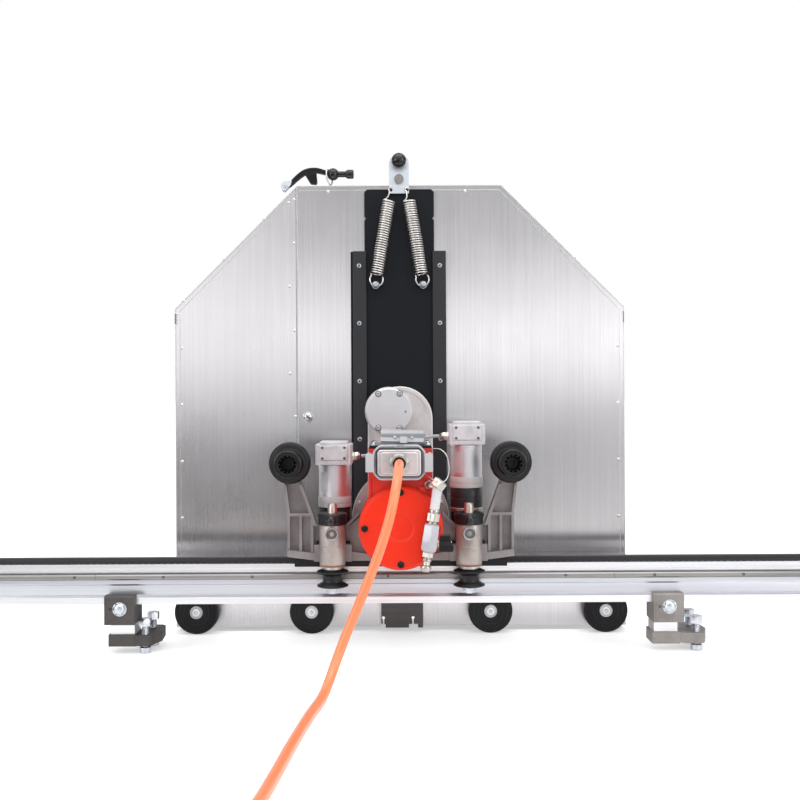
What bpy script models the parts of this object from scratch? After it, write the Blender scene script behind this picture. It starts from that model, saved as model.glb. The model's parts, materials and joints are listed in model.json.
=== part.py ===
"""Rail-guided concrete track saw: rail on two feet, motor carriage, swing arm and blade guard.

Frame: +X along the rail, -Y towards the operator, +Z up, floor at Z = 0.
Every dimension below is in millimetres and is turned into metres by MM.
"""
import bpy
import bmesh
from math import atan2, ceil, cos, floor, pi, radians, sin, sqrt, tan
from mathutils import Matrix, Vector

MM = 0.001
GAP = 0.3

# rail
RAIL_HALF = 1000.0
RAIL_Y = -38.0
RAIL_BOTTOM = 98.0
RAIL_TOP = 174.0
TRACK_Z = 151.0
TRACK_HALF_HEIGHT = 5.0
TRACK_REACH = 59.6
RACK_MODULE = 4.0
RACK_PITCH = pi * RACK_MODULE
RACK_BACK_Y = -79.2
RACK_FLOOR = 160.0

# carriage
POST_X = 130.0
POST_Y = -117.0
REAR_ROLLER_Y = 2.0 * RAIL_Y - POST_Y
ROLLER_RADIUS = 30.0
ROLLER_WAIST = 19.0
ROLLER_HALF_HEIGHT = 16.0
AXLE_RADIUS = 8.0
GEARMOTOR_Y = -42.0
GEARMOTOR_RADIUS = 31.5
PINION_TEETH = 12
PINION_RADIUS = RACK_MODULE * PINION_TEETH / 2.0
DECK_BOTTOM = 181.0
DECK_TOP = 213.0
KNOB_X = 212.0
KNOB_Z = 370.0

# motor and its connector
MOTOR_Z = 254.0
MOTOR_RADIUS = 76.0
CAP_RADIUS = 78.0
MOTOR_FRONT = -168.0
CAP_FRONT = -187.0
PLUG_X = -2.0
PLUG_Z = 376.0
GLAND_FRONT = -222.5

# swing arm and blade
ARM_LENGTH = 195.0
ARM_HALF_WIDTH = 68.0
ARM_FRONT = 76.0
ARM_BACK = 97.0
BLADE_Z = MOTOR_Z + ARM_LENGTH
BLADE_RADIUS = 400.0
BLADE_Y = 167.0
BLADE_SEGMENTS = 30

# guard
GUARD_HALF = 476.0
GUARD_BOTTOM = 9.0
GUARD_TOP = 943.0
GUARD_CHAMFER = 260.0
GUARD_FRONT = 112.5
GUARD_BACK = 222.5
SHEET = 2.5
SEAM_X = -216.0
SLOT_HALF = 45.0
SLOT_BOTTOM = 62.0
SLOT_TOP = 505.0
SLIDER_HALF = 73.5
SLIDER_TOP = 933.0
WHEEL_X = (-428.0, -187.0, 187.0, 428.0)
WHEEL_RADIUS = 46.0
SPRING_TOP = (17.0, 930.5)
BRACKET_LOW = 923.0
BRACKET_TOP = 985.0
PLUNGER_Z = 990.0
SPRING_LOW = (50.0, 730.0)

# cable
CABLE_RADIUS = 8.5
COIL_CENTRE = (-45.0, -1087.0)
COIL_PITCH = 17.4
COIL_LAST_RADIUS = 154.8
COIL_OUTER = COIL_LAST_RADIUS + CABLE_RADIUS
COIL_INNER = COIL_LAST_RADIUS - 3.0 * COIL_PITCH - CABLE_RADIUS

PALETTE = {
    "stainless": ((0.62, 0.61, 0.60), 0.32, 1.0),
    "black_steel": ((0.012, 0.013, 0.015), 0.45, 0.6),
    "aluminium": ((0.72, 0.72, 0.74), 0.35, 1.0),
    "cast_aluminium": ((0.42, 0.40, 0.38), 0.6, 0.7),
    "steel": ((0.50, 0.50, 0.50), 0.35, 1.0),
    "zinc": ((0.62, 0.65, 0.68), 0.3, 1.0),
    "phosphated": ((0.10, 0.095, 0.09), 0.6, 0.6),
    "red_paint": ((0.80, 0.045, 0.015), 0.4, 0.0),
    "grey_plastic": ((0.30, 0.31, 0.33), 0.5, 0.0),
    "black_rubber": ((0.02, 0.02, 0.02), 0.7, 0.0),
    "nickel": ((0.75, 0.73, 0.70), 0.2, 1.0),
    "cable_orange": ((1.0, 0.33, 0.10), 0.5, 0.0),
}


def material(name):
    """Return the Principled material of one finish, made on first use."""
    if name in bpy.data.materials:
        return bpy.data.materials[name]
    colour, roughness, metallic = PALETTE[name]
    made = bpy.data.materials.new(name)
    made.use_nodes = True
    shader = made.node_tree.nodes["Principled BSDF"]
    shader.inputs["Base Color"].default_value = (*colour, 1.0)
    shader.inputs["Roughness"].default_value = roughness
    shader.inputs["Metallic"].default_value = metallic
    made.diffuse_color = (*colour, 1.0)
    return made


def mesh_object(name, verts, faces):
    """Make an object from millimetre vertices, with its faces turned outwards."""
    mesh = bpy.data.meshes.new(name)
    mesh.from_pydata([Vector(v) * MM for v in verts], [], faces)
    shape = bmesh.new()
    shape.from_mesh(mesh)
    bmesh.ops.recalc_face_normals(shape, faces=shape.faces)
    shape.to_mesh(mesh)
    shape.free()
    made = bpy.data.objects.new(name, mesh)
    bpy.context.collection.objects.link(made)
    return made


def prism(name, outline, axis, low, high):
    """Extrude a closed outline along an axis; the outline's pair is the other two axes in order."""
    places = {"X": (1, 2, 0), "Y": (0, 2, 1), "Z": (0, 1, 2)}[axis]
    verts = []
    for level in (low, high):
        for a, b in outline:
            point = [0.0, 0.0, 0.0]
            point[places[0]] = a
            point[places[1]] = b
            point[places[2]] = level
            verts.append(point)
    count = len(outline)
    sides = [(i, (i + 1) % count, count + (i + 1) % count, count + i) for i in range(count)]
    return mesh_object(name, verts, sides + [tuple(range(count)), tuple(range(count, 2 * count))])


def box(name, low, high):
    """A plain block between two corners."""
    outline = [(low[0], low[1]), (high[0], low[1]), (high[0], high[1]), (low[0], high[1])]
    return prism(name, outline, "Z", low[2], high[2])


def arc(cx, cy, radius, start, end, steps):
    """Points along an arc, in degrees, both ends included."""
    angles = [radians(start + (end - start) * i / steps) for i in range(steps + 1)]
    return [(cx + radius * cos(a), cy + radius * sin(a)) for a in angles]


def turned(name, profile, axis, centre, segments=24):
    """Turn a profile of (radius, height) about an axis through centre; radius 0 closes an end."""
    verts = []
    rings = []
    for radius, height in profile:
        ring = []
        steps = 1 if radius == 0.0 else segments
        for i in range(steps):
            angle = 2.0 * pi * i / segments
            a, b = radius * cos(angle), radius * sin(angle)
            local = {"X": (height, a, b), "Y": (a, height, b), "Z": (a, b, height)}[axis]
            ring.append(len(verts))
            verts.append([local[k] + centre[k] for k in range(3)])
        rings.append(ring)
    if profile[0][0] != 0.0:
        rings.append(rings[0])
    faces = []
    for lower, upper in zip(rings, rings[1:]):
        for i in range(segments):
            j = (i + 1) % segments
            if len(lower) == 1:
                faces.append((lower[0], upper[i], upper[j]))
            elif len(upper) == 1:
                faces.append((lower[i], lower[j], upper[0]))
            else:
                faces.append((lower[i], lower[j], upper[j], upper[i]))
    return mesh_object(name, verts, faces)


def rod(name, axis, centre, radius, low, high, segments=24):
    """A solid cylinder along an axis, between two heights on it."""
    return turned(name, [(0.0, low), (radius, low), (radius, high), (0.0, high)], axis, centre, segments)


def combine(target, tool, operation):
    """Join or cut target with tool, and drop the tool."""
    step = target.modifiers.new("step", "BOOLEAN")
    step.operation = operation
    step.solver = "EXACT"
    step.object = tool
    bpy.context.view_layer.update()
    graph = bpy.context.evaluated_depsgraph_get()
    result = bpy.data.meshes.new_from_object(target.evaluated_get(graph))
    target.modifiers.clear()
    target.data = result
    bpy.data.objects.remove(tool)


def join(target, *tools):
    """Unite each tool with the target."""
    for tool in tools:
        combine(target, tool, "UNION")
    return target


def cut(target, *tools):
    """Take each tool's shape out of the target."""
    for tool in tools:
        combine(target, tool, "DIFFERENCE")
    return target


def finish(made, finish_name, origin=None, bevel=0.0):
    """Give a part its material, smooth round faces, an edge bevel and an origin on its joint axis."""
    made.data.materials.clear()
    made.data.materials.append(material(finish_name))
    made.data.shade_smooth()
    made.data.set_sharp_from_angle(angle=radians(35.0))
    if origin is not None:
        place = Vector(origin) * MM
        made.data.transform(Matrix.Translation(-place))
        made.location = place
    if bevel > 0.0:
        edge = made.modifiers.new("edges", "BEVEL")
        edge.width = bevel * MM
        edge.segments = 1
        edge.limit_method = "ANGLE"
        edge.angle_limit = radians(50.0)
    return made


# ---------------------------------------------------------------- rail and feet

def rail_outline():
    """Half of the rail's section mirrored to both sides, as (Y, Z)."""
    half = [(54.0, RAIL_BOTTOM), (54.0, 111.0), (44.0, 115.0), (44.0, 133.0), (47.0, 136.0),
            (47.0, 144.0), (42.0, 144.0), (42.0, 158.0), (48.0, 158.0), (48.0, RAIL_TOP)]
    front = [(RAIL_Y - y, z) for y, z in half]
    rear = [(RAIL_Y + y, z) for y, z in reversed(half)]
    channel = [(-2.0, RAIL_TOP), (-2.0, RACK_FLOOR), (-79.5, RACK_FLOOR), (-79.5, RAIL_TOP)]
    return front + list(reversed(channel)) + rear


def build_rail():
    """The aluminium extrusion, its two steel tracks and the gear rack."""
    rail = prism("rail_extrusion", rail_outline(), "X", -RAIL_HALF, RAIL_HALF)
    hollow = box("hollow", (-RAIL_HALF - 5.0, RAIL_Y - 34.0, 106.0), (RAIL_HALF + 5.0, RAIL_Y + 34.0, 152.0))
    finish(cut(rail, hollow), "aluminium")
    low = TRACK_Z - TRACK_HALF_HEIGHT
    high = TRACK_Z + TRACK_HALF_HEIGHT
    for name, side in (("rail_track_front", -1.0), ("rail_track_rear", 1.0)):
        inner = RAIL_Y + side * (42.0 + GAP)
        outer = RAIL_Y + side * TRACK_REACH
        tip = RAIL_Y + side * (TRACK_REACH - 2.0)
        outline = [(inner, low), (tip, low), (outer, low + 2.0), (outer, high - 2.0), (tip, high), (inner, high)]
        finish(prism(name, outline, "X", -RAIL_HALF + 2.0, RAIL_HALF - 2.0), "steel")
    build_rack()


def build_rack():
    """The straight rack: teeth face the rear, a gap stands opposite the pinion at rest."""
    pitch_y = GEARMOTOR_Y - PINION_RADIUS
    tip_y = pitch_y + 0.7 * RACK_MODULE
    root_y = pitch_y - 1.1 * RACK_MODULE
    slope = tan(radians(20.0))
    half = RACK_PITCH / 4.0 - 0.3
    first = ceil((-RAIL_HALF + 14.0 - POST_X) / RACK_PITCH)
    last = floor((RAIL_HALF - 14.0 - POST_X) / RACK_PITCH)
    outline = [(-RAIL_HALF + 3.0, root_y)]
    for index in range(first, last):
        middle = POST_X + (index + 0.5) * RACK_PITCH
        foot = half + slope * (pitch_y - root_y)
        tip = half - slope * (tip_y - pitch_y)
        outline += [(middle - foot, root_y), (middle - tip, tip_y), (middle + tip, tip_y), (middle + foot, root_y)]
    outline += [(RAIL_HALF - 3.0, root_y), (RAIL_HALF - 3.0, RACK_BACK_Y), (-RAIL_HALF + 3.0, RACK_BACK_Y)]
    finish(prism("rail_rack", outline, "Z", RACK_FLOOR + GAP, RAIL_TOP - 1.5), "black_steel")


def build_foot(side, x, bolt_x):
    """One rail foot: base bar with its bolt lugs, front clamp jaw and two levelling bolts."""
    bolts = (("front", bolt_x + 3.5, -71.0), ("rear", bolt_x + 5.0, -9.0))
    base = box("foot_base_" + side, (x - 27.0, -84.0, 15.0), (x + 27.0, -30.0, 38.0))
    lug = [(x, -80.0), (x + 20.0, -80.0), (bolt_x - 12.0, -86.0), (bolt_x + 10.0, -87.0), (bolt_x + 17.0, -82.0),
           (bolt_x + 30.0, -42.0), (bolt_x + 26.0, 8.0), (bolt_x + 18.0, 14.0), (bolt_x - 12.0, 14.0),
           (bolt_x - 16.0, -32.0), (x, -32.0)]
    join(base, prism("lug", lug, "Z", 16.0, 36.5))
    join(base, box("spacer", (x - 23.0, -80.0, 37.0), (x + 23.0, -32.0, 61.0)))
    for _, a, b in bolts:
        bore = [(0.0, 8.0), (12.0, 8.0), (12.0, 20.0), (7.4, 20.0), (7.4, 44.0), (0.0, 44.0)]
        cut(base, turned("bore", bore, "Z", (a, b, 0.0), 20))
    finish(base, "phosphated")
    jaw_outline = [(-107.0, 61.3), (-44.0, 61.3), (-44.0, 97.7), (-92.6, 97.7), (-92.6, 111.5), (-86.0, 114.2),
                   (-86.0, 117.0), (-104.0, 117.0), (-107.0, 114.0)]
    jaw = prism("foot_jaw_" + side, jaw_outline, "X", x - 29.0, x + 29.0)
    join(jaw, turned("nut", [(0.0, -111.0), (10.0, -111.0), (13.0, -108.0), (13.0, -106.0), (0.0, -106.0)], "Y",
                     (x, 0.0, 92.0), 6))
    finish(jaw, "phosphated")
    for end, a, b in bolts:
        bolt = turned("level_bolt_%s_%s" % (end, side),
                      [(0.0, 0.0), (11.0, 0.0), (11.0, 12.0), (7.0, 15.0), (7.0, 54.0), (0.0, 54.0)],
                      "Z", (a, b, 0.0), 20)
        join(bolt, turned("head", [(0.0, 53.0), (12.0, 53.0), (12.0, 68.0), (0.0, 68.0)], "Z", (a, b, 0.0), 6))
        finish(bolt, "zinc", (a, b, 0.0))


# ---------------------------------------------------------------- carriage

def mirrored(side, outline):
    """An outline drawn for the right half, placed on a side."""
    return [(side * x, z) for x, z in outline]


def wing(side):
    """Ribbed cast wing at one end of the carriage, with the arm that carries the handle knob."""
    outline = [(150.0, 181.5), (218.0, 190.0), (218.0, 272.0), (225.0, 331.0), (226.0, 384.0), (198.0, 384.0),
               (192.0, 334.0), (163.0, 254.0), (150.0, 254.0)]
    ribs = [[(213.0, 196.0), (218.0, 196.0), (218.0, 272.0), (224.6, 328.0), (219.6, 328.0), (213.0, 273.0)],
            [(160.0, 250.0), (163.0, 254.0), (190.0, 328.0), (195.5, 328.0), (167.0, 248.0)],
            [(168.0, 267.5), (216.0, 267.5), (216.0, 273.0), (170.0, 273.0)],
            [(190.0, 198.0), (195.0, 198.0), (195.0, 270.0), (190.0, 270.0)],
            [(168.0, 195.0), (173.0, 195.0), (173.0, 270.0), (168.0, 270.0)]]
    plate = prism("wing", mirrored(side, outline), "Y", -84.0, -70.0)
    for rib in ribs:
        join(plate, prism("rib", mirrored(side, rib), "Y", -98.0, -83.0))
    flange = [(152.0, 181.2), (217.6, 190.0), (217.6, 203.0), (152.0, 195.0)]
    join(plate, prism("flange", mirrored(side, flange), "Y", -104.0, -83.0))
    join(plate, rod("boss", "Y", (side * KNOB_X, 0.0, KNOB_Z), 13.0, -90.0, -83.0))
    return plate


def inner_web(side):
    """Web between a deck and the motor, with its raised upper edge and lower flange."""
    outline = [(80.0, 274.0), (106.0, 249.0), (106.0, 181.5), (52.0, 181.5), (52.0, 196.0), (62.0, 208.0),
               (72.0, 226.0), (79.0, 245.0)]
    web = prism("web", mirrored(side, outline), "Y", -80.0, -71.0)
    edge = [(80.2, 268.0), (80.2, 273.8), (105.8, 249.0), (105.8, 243.0)]
    join(web, prism("edge", mirrored(side, edge), "Y", -91.0, -79.0))
    foot = [(54.0, 181.2), (105.8, 181.2), (105.8, 200.0), (56.0, 193.0)]
    join(web, prism("foot", mirrored(side, foot), "Y", -98.0, -79.0))
    return web


def build_carriage_frame():
    """Cast carriage: two decks, a cross beam with the motor flange, wings and rear roller axles."""
    frame = box("carriage_frame", (-POST_X - 36.0, -1.7, DECK_BOTTOM), (POST_X + 36.0, 20.0, 205.0))
    flange = [p for p in arc(0.0, MOTOR_Z, 97.0, 0.0, 360.0, 40)[:-1] if p[1] > DECK_BOTTOM + 4.0]
    start = max(range(len(flange)), key=lambda i: abs(flange[i][0] - flange[i - 1][0]))
    join(frame, prism("flange", flange[start:] + flange[:start], "Y", -1.7, 12.0))
    for side in (-1.0, 1.0):
        xs = sorted((side * (POST_X - 36.0), side * (POST_X + 36.0)))
        join(frame, box("deck", (xs[0], -106.0, DECK_BOTTOM), (xs[1], 60.0, DECK_TOP)))
        join(frame, wing(side))
        join(frame, inner_web(side))
        join(frame, rod("axle", "Z", (side * POST_X, REAR_ROLLER_Y, 0.0), AXLE_RADIUS, 125.0, 190.0, 20))
        join(frame, rod("nut", "Z", (side * POST_X, REAR_ROLLER_Y, 0.0), 13.0, 121.0, 132.0, 6))
        cut(frame, rod("post_seat", "Z", (side * POST_X, POST_Y, 0.0), 25.0 + GAP, 150.0, 300.0))
    cut(frame, rod("hub_bore", "Y", (0.0, 0.0, MOTOR_Z), 30.0, -20.0, 40.0))
    cut(frame, rod("shaft_bore", "Z", (POST_X, GEARMOTOR_Y, 0.0), 8.6, 150.0, 240.0, 20))
    finish(frame, "cast_aluminium")


def build_roller(name, x, y):
    """A V-roller whose waist runs on the edge of the steel track."""
    profile = [(AXLE_RADIUS + GAP, -ROLLER_HALF_HEIGHT), (26.0, -ROLLER_HALF_HEIGHT), (ROLLER_RADIUS, -14.0),
               (ROLLER_RADIUS, -12.5), (ROLLER_WAIST, -6.0), (ROLLER_WAIST, 6.0), (ROLLER_RADIUS, 12.5),
               (ROLLER_RADIUS, 14.0), (26.0, ROLLER_HALF_HEIGHT), (AXLE_RADIUS + GAP, ROLLER_HALF_HEIGHT)]
    finish(turned(name, profile, "Z", (x, y, TRACK_Z)), "black_steel", (x, y, TRACK_Z))


def build_post(side, x):
    """Front roller post with its axle, lock collar and roller."""
    post = turned("roller_post_" + side,
                  [(0.0, 125.0), (AXLE_RADIUS, 125.0), (AXLE_RADIUS, 168.5), (17.0, 168.5), (17.0, 172.0),
                   (25.0, 174.0), (25.0, 253.6), (9.0, 253.6), (9.0, 292.0), (7.0, 294.0), (0.0, 294.0)],
                  "Z", (x, POST_Y, 0.0))
    join(post, rod("nut", "Z", (x, POST_Y, 0.0), 13.0, 121.0, 132.0, 6))
    join(post, rod("set_screw", "Y", (x, 0.0, 238.0), 10.5, POST_Y - 26.5, POST_Y - 20.0, 16))
    finish(post, "cast_aluminium")
    lock = turned("roller_lock_" + side, [(9.0 + GAP, 254.0), (28.0, 254.0), (28.0, 274.0), (26.0, 276.0),
                                          (9.0 + GAP, 276.0)], "Z", (x, POST_Y, 0.0))
    join(lock, rod("stem", "Y", (x, 0.0, 265.0), 4.0, POST_Y - 36.0, POST_Y - 25.0, 12))
    ball = [(9.5 * sin(pi * i / 8.0), -9.5 * cos(pi * i / 8.0)) for i in range(9)]
    ball[0] = (0.0, -9.5)
    ball[-1] = (0.0, 9.5)
    join(lock, turned("ball", ball, "Y", (x, POST_Y - 41.0, 265.0), 16))
    finish(lock, "black_steel", (x, POST_Y, 265.0))
    build_roller("v_roller_front_" + side, x, POST_Y)
    build_roller("v_roller_rear_" + side, x, REAR_ROLLER_Y)


def build_knob(side, x):
    """Rubber handle knob: a disc with a hollow socket ring towards the operator."""
    profile = [(0.0, -90.3), (38.0, -90.3), (40.0, -93.0), (40.0, -108.0), (36.0, -112.0), (25.5, -114.0),
               (25.5, -150.0), (24.0, -152.0), (18.0, -152.0), (17.0, -150.0), (17.0, -116.0), (0.0, -116.0)]
    finish(turned("handle_knob_" + side, profile, "Y", (x, 0.0, KNOB_Z)), "black_rubber")


def build_gearmotor(side, x, base, cap_low):
    """One upright gearmotor: reducer, light ring and can, and the terminal cap on top."""
    ring_low = base
    ring_high = base + 21.0
    low = DECK_TOP + GAP
    motor = turned("gearmotor_" + side,
                   [(0.0, low), (31.0, low), (31.0, ring_low), (32.5, ring_low), (32.5, ring_high),
                    (GEARMOTOR_RADIUS, ring_high), (GEARMOTOR_RADIUS, cap_low - GAP), (0.0, cap_low - GAP)],
                   "Z", (x, GEARMOTOR_Y, 0.0))
    finish(motor, "aluminium")
    half = 35.5
    cap = box("gearmotor_cap_" + side, (x - half, GEARMOTOR_Y - half, cap_low),
              (x + half, GEARMOTOR_Y + half, cap_low + 40.0))
    join(cap, box("lid", (x - 27.0, GEARMOTOR_Y - 27.0, cap_low + 39.0), (x + 27.0, GEARMOTOR_Y + 27.0, cap_low + 45.0)))
    inner = -1.0 if x > 0.0 else 1.0
    gland_x = (x + inner * (half - 1.0), x + inner * (half + 15.0))
    join(cap, rod("gland", "X", (0.0, GEARMOTOR_Y - 12.0, cap_low + 16.0), 8.0, min(gland_x), max(gland_x), 12))
    finish(cap, "aluminium")


def involute_angle(radius, base_radius):
    """Polar angle gained along an involute at a radius."""
    ratio = radius / base_radius
    return sqrt(ratio * ratio - 1.0) - atan2(sqrt(ratio * ratio - 1.0), 1.0)


def build_pinion():
    """Travel pinion and shaft; one tooth points straight at the rack at rest."""
    base_radius = PINION_RADIUS * cos(radians(20.0))
    tip = PINION_RADIUS + 0.85 * RACK_MODULE
    root = PINION_RADIUS - 1.1 * RACK_MODULE
    half_tooth = (pi * RACK_MODULE / 4.0 - 0.3) / PINION_RADIUS
    at_pitch = involute_angle(PINION_RADIUS, base_radius)
    flank = [base_radius + (tip - base_radius) * i / 2.0 for i in range(3)]
    outline = []
    for tooth in range(PINION_TEETH):
        middle = pi / 2.0 + 2.0 * pi * tooth / PINION_TEETH
        halves = [half_tooth + at_pitch - involute_angle(r, base_radius) for r in flank]
        radii = [root] + flank
        angles = [halves[0]] + halves
        side = [(r, middle - a) for r, a in zip(radii, angles)]
        side += [(r, middle + a) for r, a in reversed(list(zip(radii, angles)))]
        outline += [(POST_X + r * cos(a), GEARMOTOR_Y + r * sin(a)) for r, a in side]
    pinion = prism("travel_pinion", outline, "Z", RACK_FLOOR + 1.0, RAIL_TOP - 2.0)
    join(pinion, rod("shaft", "Z", (POST_X, GEARMOTOR_Y, 0.0), 8.0, RAIL_TOP - 4.0, DECK_TOP - 1.0, 20))
    finish(pinion, "steel", (POST_X, GEARMOTOR_Y, RACK_FLOOR))


# ---------------------------------------------------------------- motor, connector and water line

def build_motor():
    """Motor housing with its terminal box, front cap and terminal cover."""
    housing = rod("motor_housing", "Y", (0.0, 0.0, MOTOR_Z), MOTOR_RADIUS, MOTOR_FRONT + GAP, -2.0, 36)
    join(housing, box("terminal_box", (-59.5, -175.0 + 7.5, 290.0), (59.5, -62.0, 400.0)))
    finish(housing, "red_paint")
    cap = turned("motor_end_cap", [(0.0, MOTOR_FRONT), (CAP_RADIUS, MOTOR_FRONT), (CAP_RADIUS, CAP_FRONT + 3.0),
                                   (CAP_RADIUS - 3.0, CAP_FRONT), (25.0, CAP_FRONT), (22.0, CAP_FRONT + 3.0),
                                   (0.0, CAP_FRONT + 3.0)], "Y", (0.0, 0.0, MOTOR_Z), 36)
    finish(cap, "red_paint")
    cover = box("terminal_cover", (-58.0, -166.0, 400.3), (58.0, -64.0, 406.0))
    join(cover, box("cable_box", (-37.0, -140.0, 405.0), (48.0, -84.0, 431.0)))
    finish(cover, "grey_plastic")


def build_connector():
    """Multi-pole connector on the terminal box: locking frame, hood, gland and two side levers."""
    half_x, half_z, corner = 49.0, 32.0, 13.0
    octagon = [(-half_x, -half_z + corner), (-half_x + corner, -half_z), (half_x - corner, -half_z),
               (half_x, -half_z + corner), (half_x, half_z - corner), (half_x - corner, half_z),
               (-half_x + corner, half_z), (-half_x, half_z - corner)]
    frame = prism("hood_frame", [(PLUG_X + x, PLUG_Z + z) for x, z in octagon], "Y", -191.0, -167.8)
    finish(frame, "grey_plastic")
    hood = box("connector_hood", (PLUG_X - 40.0, -214.0, PLUG_Z - 24.0), (PLUG_X + 40.0, -191.3, PLUG_Z + 24.0))
    finish(hood, "aluminium", bevel=3.0)
    gland = turned("cable_gland", [(0.0, -214.3), (18.0, -214.3), (18.0, -220.0), (15.0, GLAND_FRONT),
                                   (11.5, GLAND_FRONT), (11.5, -220.5), (0.0, -220.5)], "Y", (PLUG_X, 0.0, PLUG_Z), 24)
    finish(gland, "nickel")
    for name, side in (("hood_lever_left", -1.0), ("hood_lever_right", 1.0)):
        pivot = (PLUG_X + side * 55.5, -184.0)
        outline = [(pivot[0] + side * 5.0, -206.0), (pivot[0] + side * 0.5, -206.0)]
        outline += [(pivot[0] - side * 0.5, -190.0)]
        outline += [(pivot[0] - side * 5.0 * cos(radians(a)), pivot[1] + 5.0 * sin(radians(a)))
                    for a in (-20.0, 20.0, 60.0, 90.0, 120.0, 150.0, 180.0)]
        lever = prism(name, outline, "Z", PLUG_Z - 16.5, PLUG_Z + 16.5)
        finish(lever, "grey_plastic", (pivot[0], pivot[1], PLUG_Z))


def tilted(made, top, bottom):
    """Turn a part built down the -Z axis from the origin so that it runs from top towards bottom."""
    line = (Vector(bottom) - Vector(top)).normalized()
    turn = Vector((0.0, 0.0, -1.0)).rotation_difference(line).to_matrix().to_4x4()
    made.data.transform(Matrix.Translation(Vector(top) * MM) @ turn)
    return made


def build_water_line():
    """Cooling water line: elbow and hose with the tap body, and the tap's wing handle."""
    top = (70.0, -203.0, 344.0)
    bottom = (43.0, -206.0, 171.0)
    profile = [(0.0, 0.0), (12.0, 0.0), (12.0, -17.0), (9.0, -19.0), (9.0, -57.0), (10.5, -58.0), (10.5, -80.0),
               (14.5, -82.0), (14.5, -131.0), (9.5, -133.0), (9.5, -148.0), (7.5, -149.0), (7.5, -156.0),
               (10.0, -158.0), (10.0, -168.0), (0.0, -168.0)]
    line = tilted(turned("water_valve", profile, "Z", (0.0, 0.0, 0.0), 16), top, bottom)
    join(line, rod("elbow", "Y", (53.0, 0.0, 333.0), 7.0, -200.0, MOTOR_FRONT + 0.2, 16))
    join(line, rod("union", "X", (0.0, -200.0, 335.0), 7.0, 48.0, 62.0, 16))
    finish(line, "nickel")
    hub = (52.0, -204.6, 229.0)
    handle = rod("valve_handle", "X", (0.0, hub[1], hub[2]), 5.0, hub[0] + 16.2, 74.0, 16)
    wings = [(hub[1] - 7.4, hub[2] + 15.0), (hub[1] - 8.2, hub[2] - 15.0), (hub[1] + 8.2, hub[2] - 15.0),
             (hub[1] + 7.4, hub[2] + 15.0)]
    join(handle, prism("wings", wings, "X", 71.0, 96.0))
    finish(handle, "black_rubber", (80.0, hub[1], hub[2]))


# ---------------------------------------------------------------- arm and blade

def build_arm():
    """Swing arm with its hub, the bearing cover, and the blade on its spindle."""
    ends = arc(0.0, BLADE_Z, ARM_HALF_WIDTH, 0.0, 180.0, 20) + arc(0.0, MOTOR_Z, ARM_HALF_WIDTH, 180.0, 360.0, 20)
    arm = prism("arm_housing", ends, "Y", ARM_FRONT, ARM_BACK)
    hub = [(0.0, -1.0), (29.5, -1.0), (29.5, 12.5), (45.0, 12.5), (45.0, ARM_FRONT + 2.0), (0.0, ARM_FRONT + 2.0)]
    join(arm, turned("hub", hub, "Y", (0.0, 0.0, MOTOR_Z)))
    cut(arm, rod("spindle_bore", "Y", (0.0, 0.0, BLADE_Z), 24.4, ARM_BACK - 14.0, ARM_BACK + 5.0))
    finish(arm, "cast_aluminium", (0.0, 0.0, MOTOR_Z))
    cover = rod("arm_cover", "Y", (-23.0, 0.0, 465.0), 47.5, 72.4, ARM_FRONT - GAP, 32)
    finish(cover, "cast_aluminium")
    spindle = turned("blade_spindle",
                     [(0.0, ARM_BACK - 13.5), (24.0, ARM_BACK - 13.5), (24.0, BLADE_Y - 12.0), (55.0, BLADE_Y - 10.0),
                      (55.0, BLADE_Y - 2.8), (0.0, BLADE_Y - 2.8)], "Y", (0.0, 0.0, BLADE_Z))
    finish(spindle, "steel", (0.0, BLADE_Y, BLADE_Z))
    outline = []
    step = 360.0 / BLADE_SEGMENTS
    for index in range(BLADE_SEGMENTS):
        start = index * step
        outline += arc(0.0, BLADE_Z, BLADE_RADIUS, start + 0.35, start + step - 0.35, 1)
        outline += arc(0.0, BLADE_Z, BLADE_RADIUS - 18.0, start + step - 0.35, start + step + 0.35, 1)
    blade = prism("saw_blade", outline, "Y", BLADE_Y - 2.5, BLADE_Y + 2.5)
    join(blade, rod("clamp", "Y", (0.0, 0.0, BLADE_Z), 55.0, BLADE_Y - 1.0, BLADE_Y + 10.0))
    join(blade, rod("screw", "Y", (0.0, 0.0, BLADE_Z), 12.0, BLADE_Y + 9.0, BLADE_Y + 17.0, 6))
    finish(blade, "steel", (0.0, BLADE_Y, BLADE_Z))


# ---------------------------------------------------------------- guard

def guard_outline(inset):
    """The guard's outline in X and Z, drawn in by an even amount on every edge but the bottom."""
    half = GUARD_HALF - inset
    top = GUARD_TOP - inset
    corner = GUARD_CHAMFER - inset * (2.0 - sqrt(2.0))
    return [(-half, GUARD_BOTTOM), (half, GUARD_BOTTOM), (half, top - corner), (half - corner, top),
            (corner - half, top), (-half, top - corner)]


def build_guard_shell():
    """Back panel and folded rim in one tray, open towards the front and the bottom."""
    shell = prism("guard_shell", guard_outline(0.0), "Y", GUARD_FRONT + SHEET + GAP, GUARD_BACK)
    inner = guard_outline(SHEET)
    inner[0] = (inner[0][0], GUARD_BOTTOM - 10.0)
    inner[1] = (inner[1][0], GUARD_BOTTOM - 10.0)
    finish(cut(shell, prism("inside", inner, "Y", GUARD_FRONT - 20.0, GUARD_BACK - SHEET)), "stainless")


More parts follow.
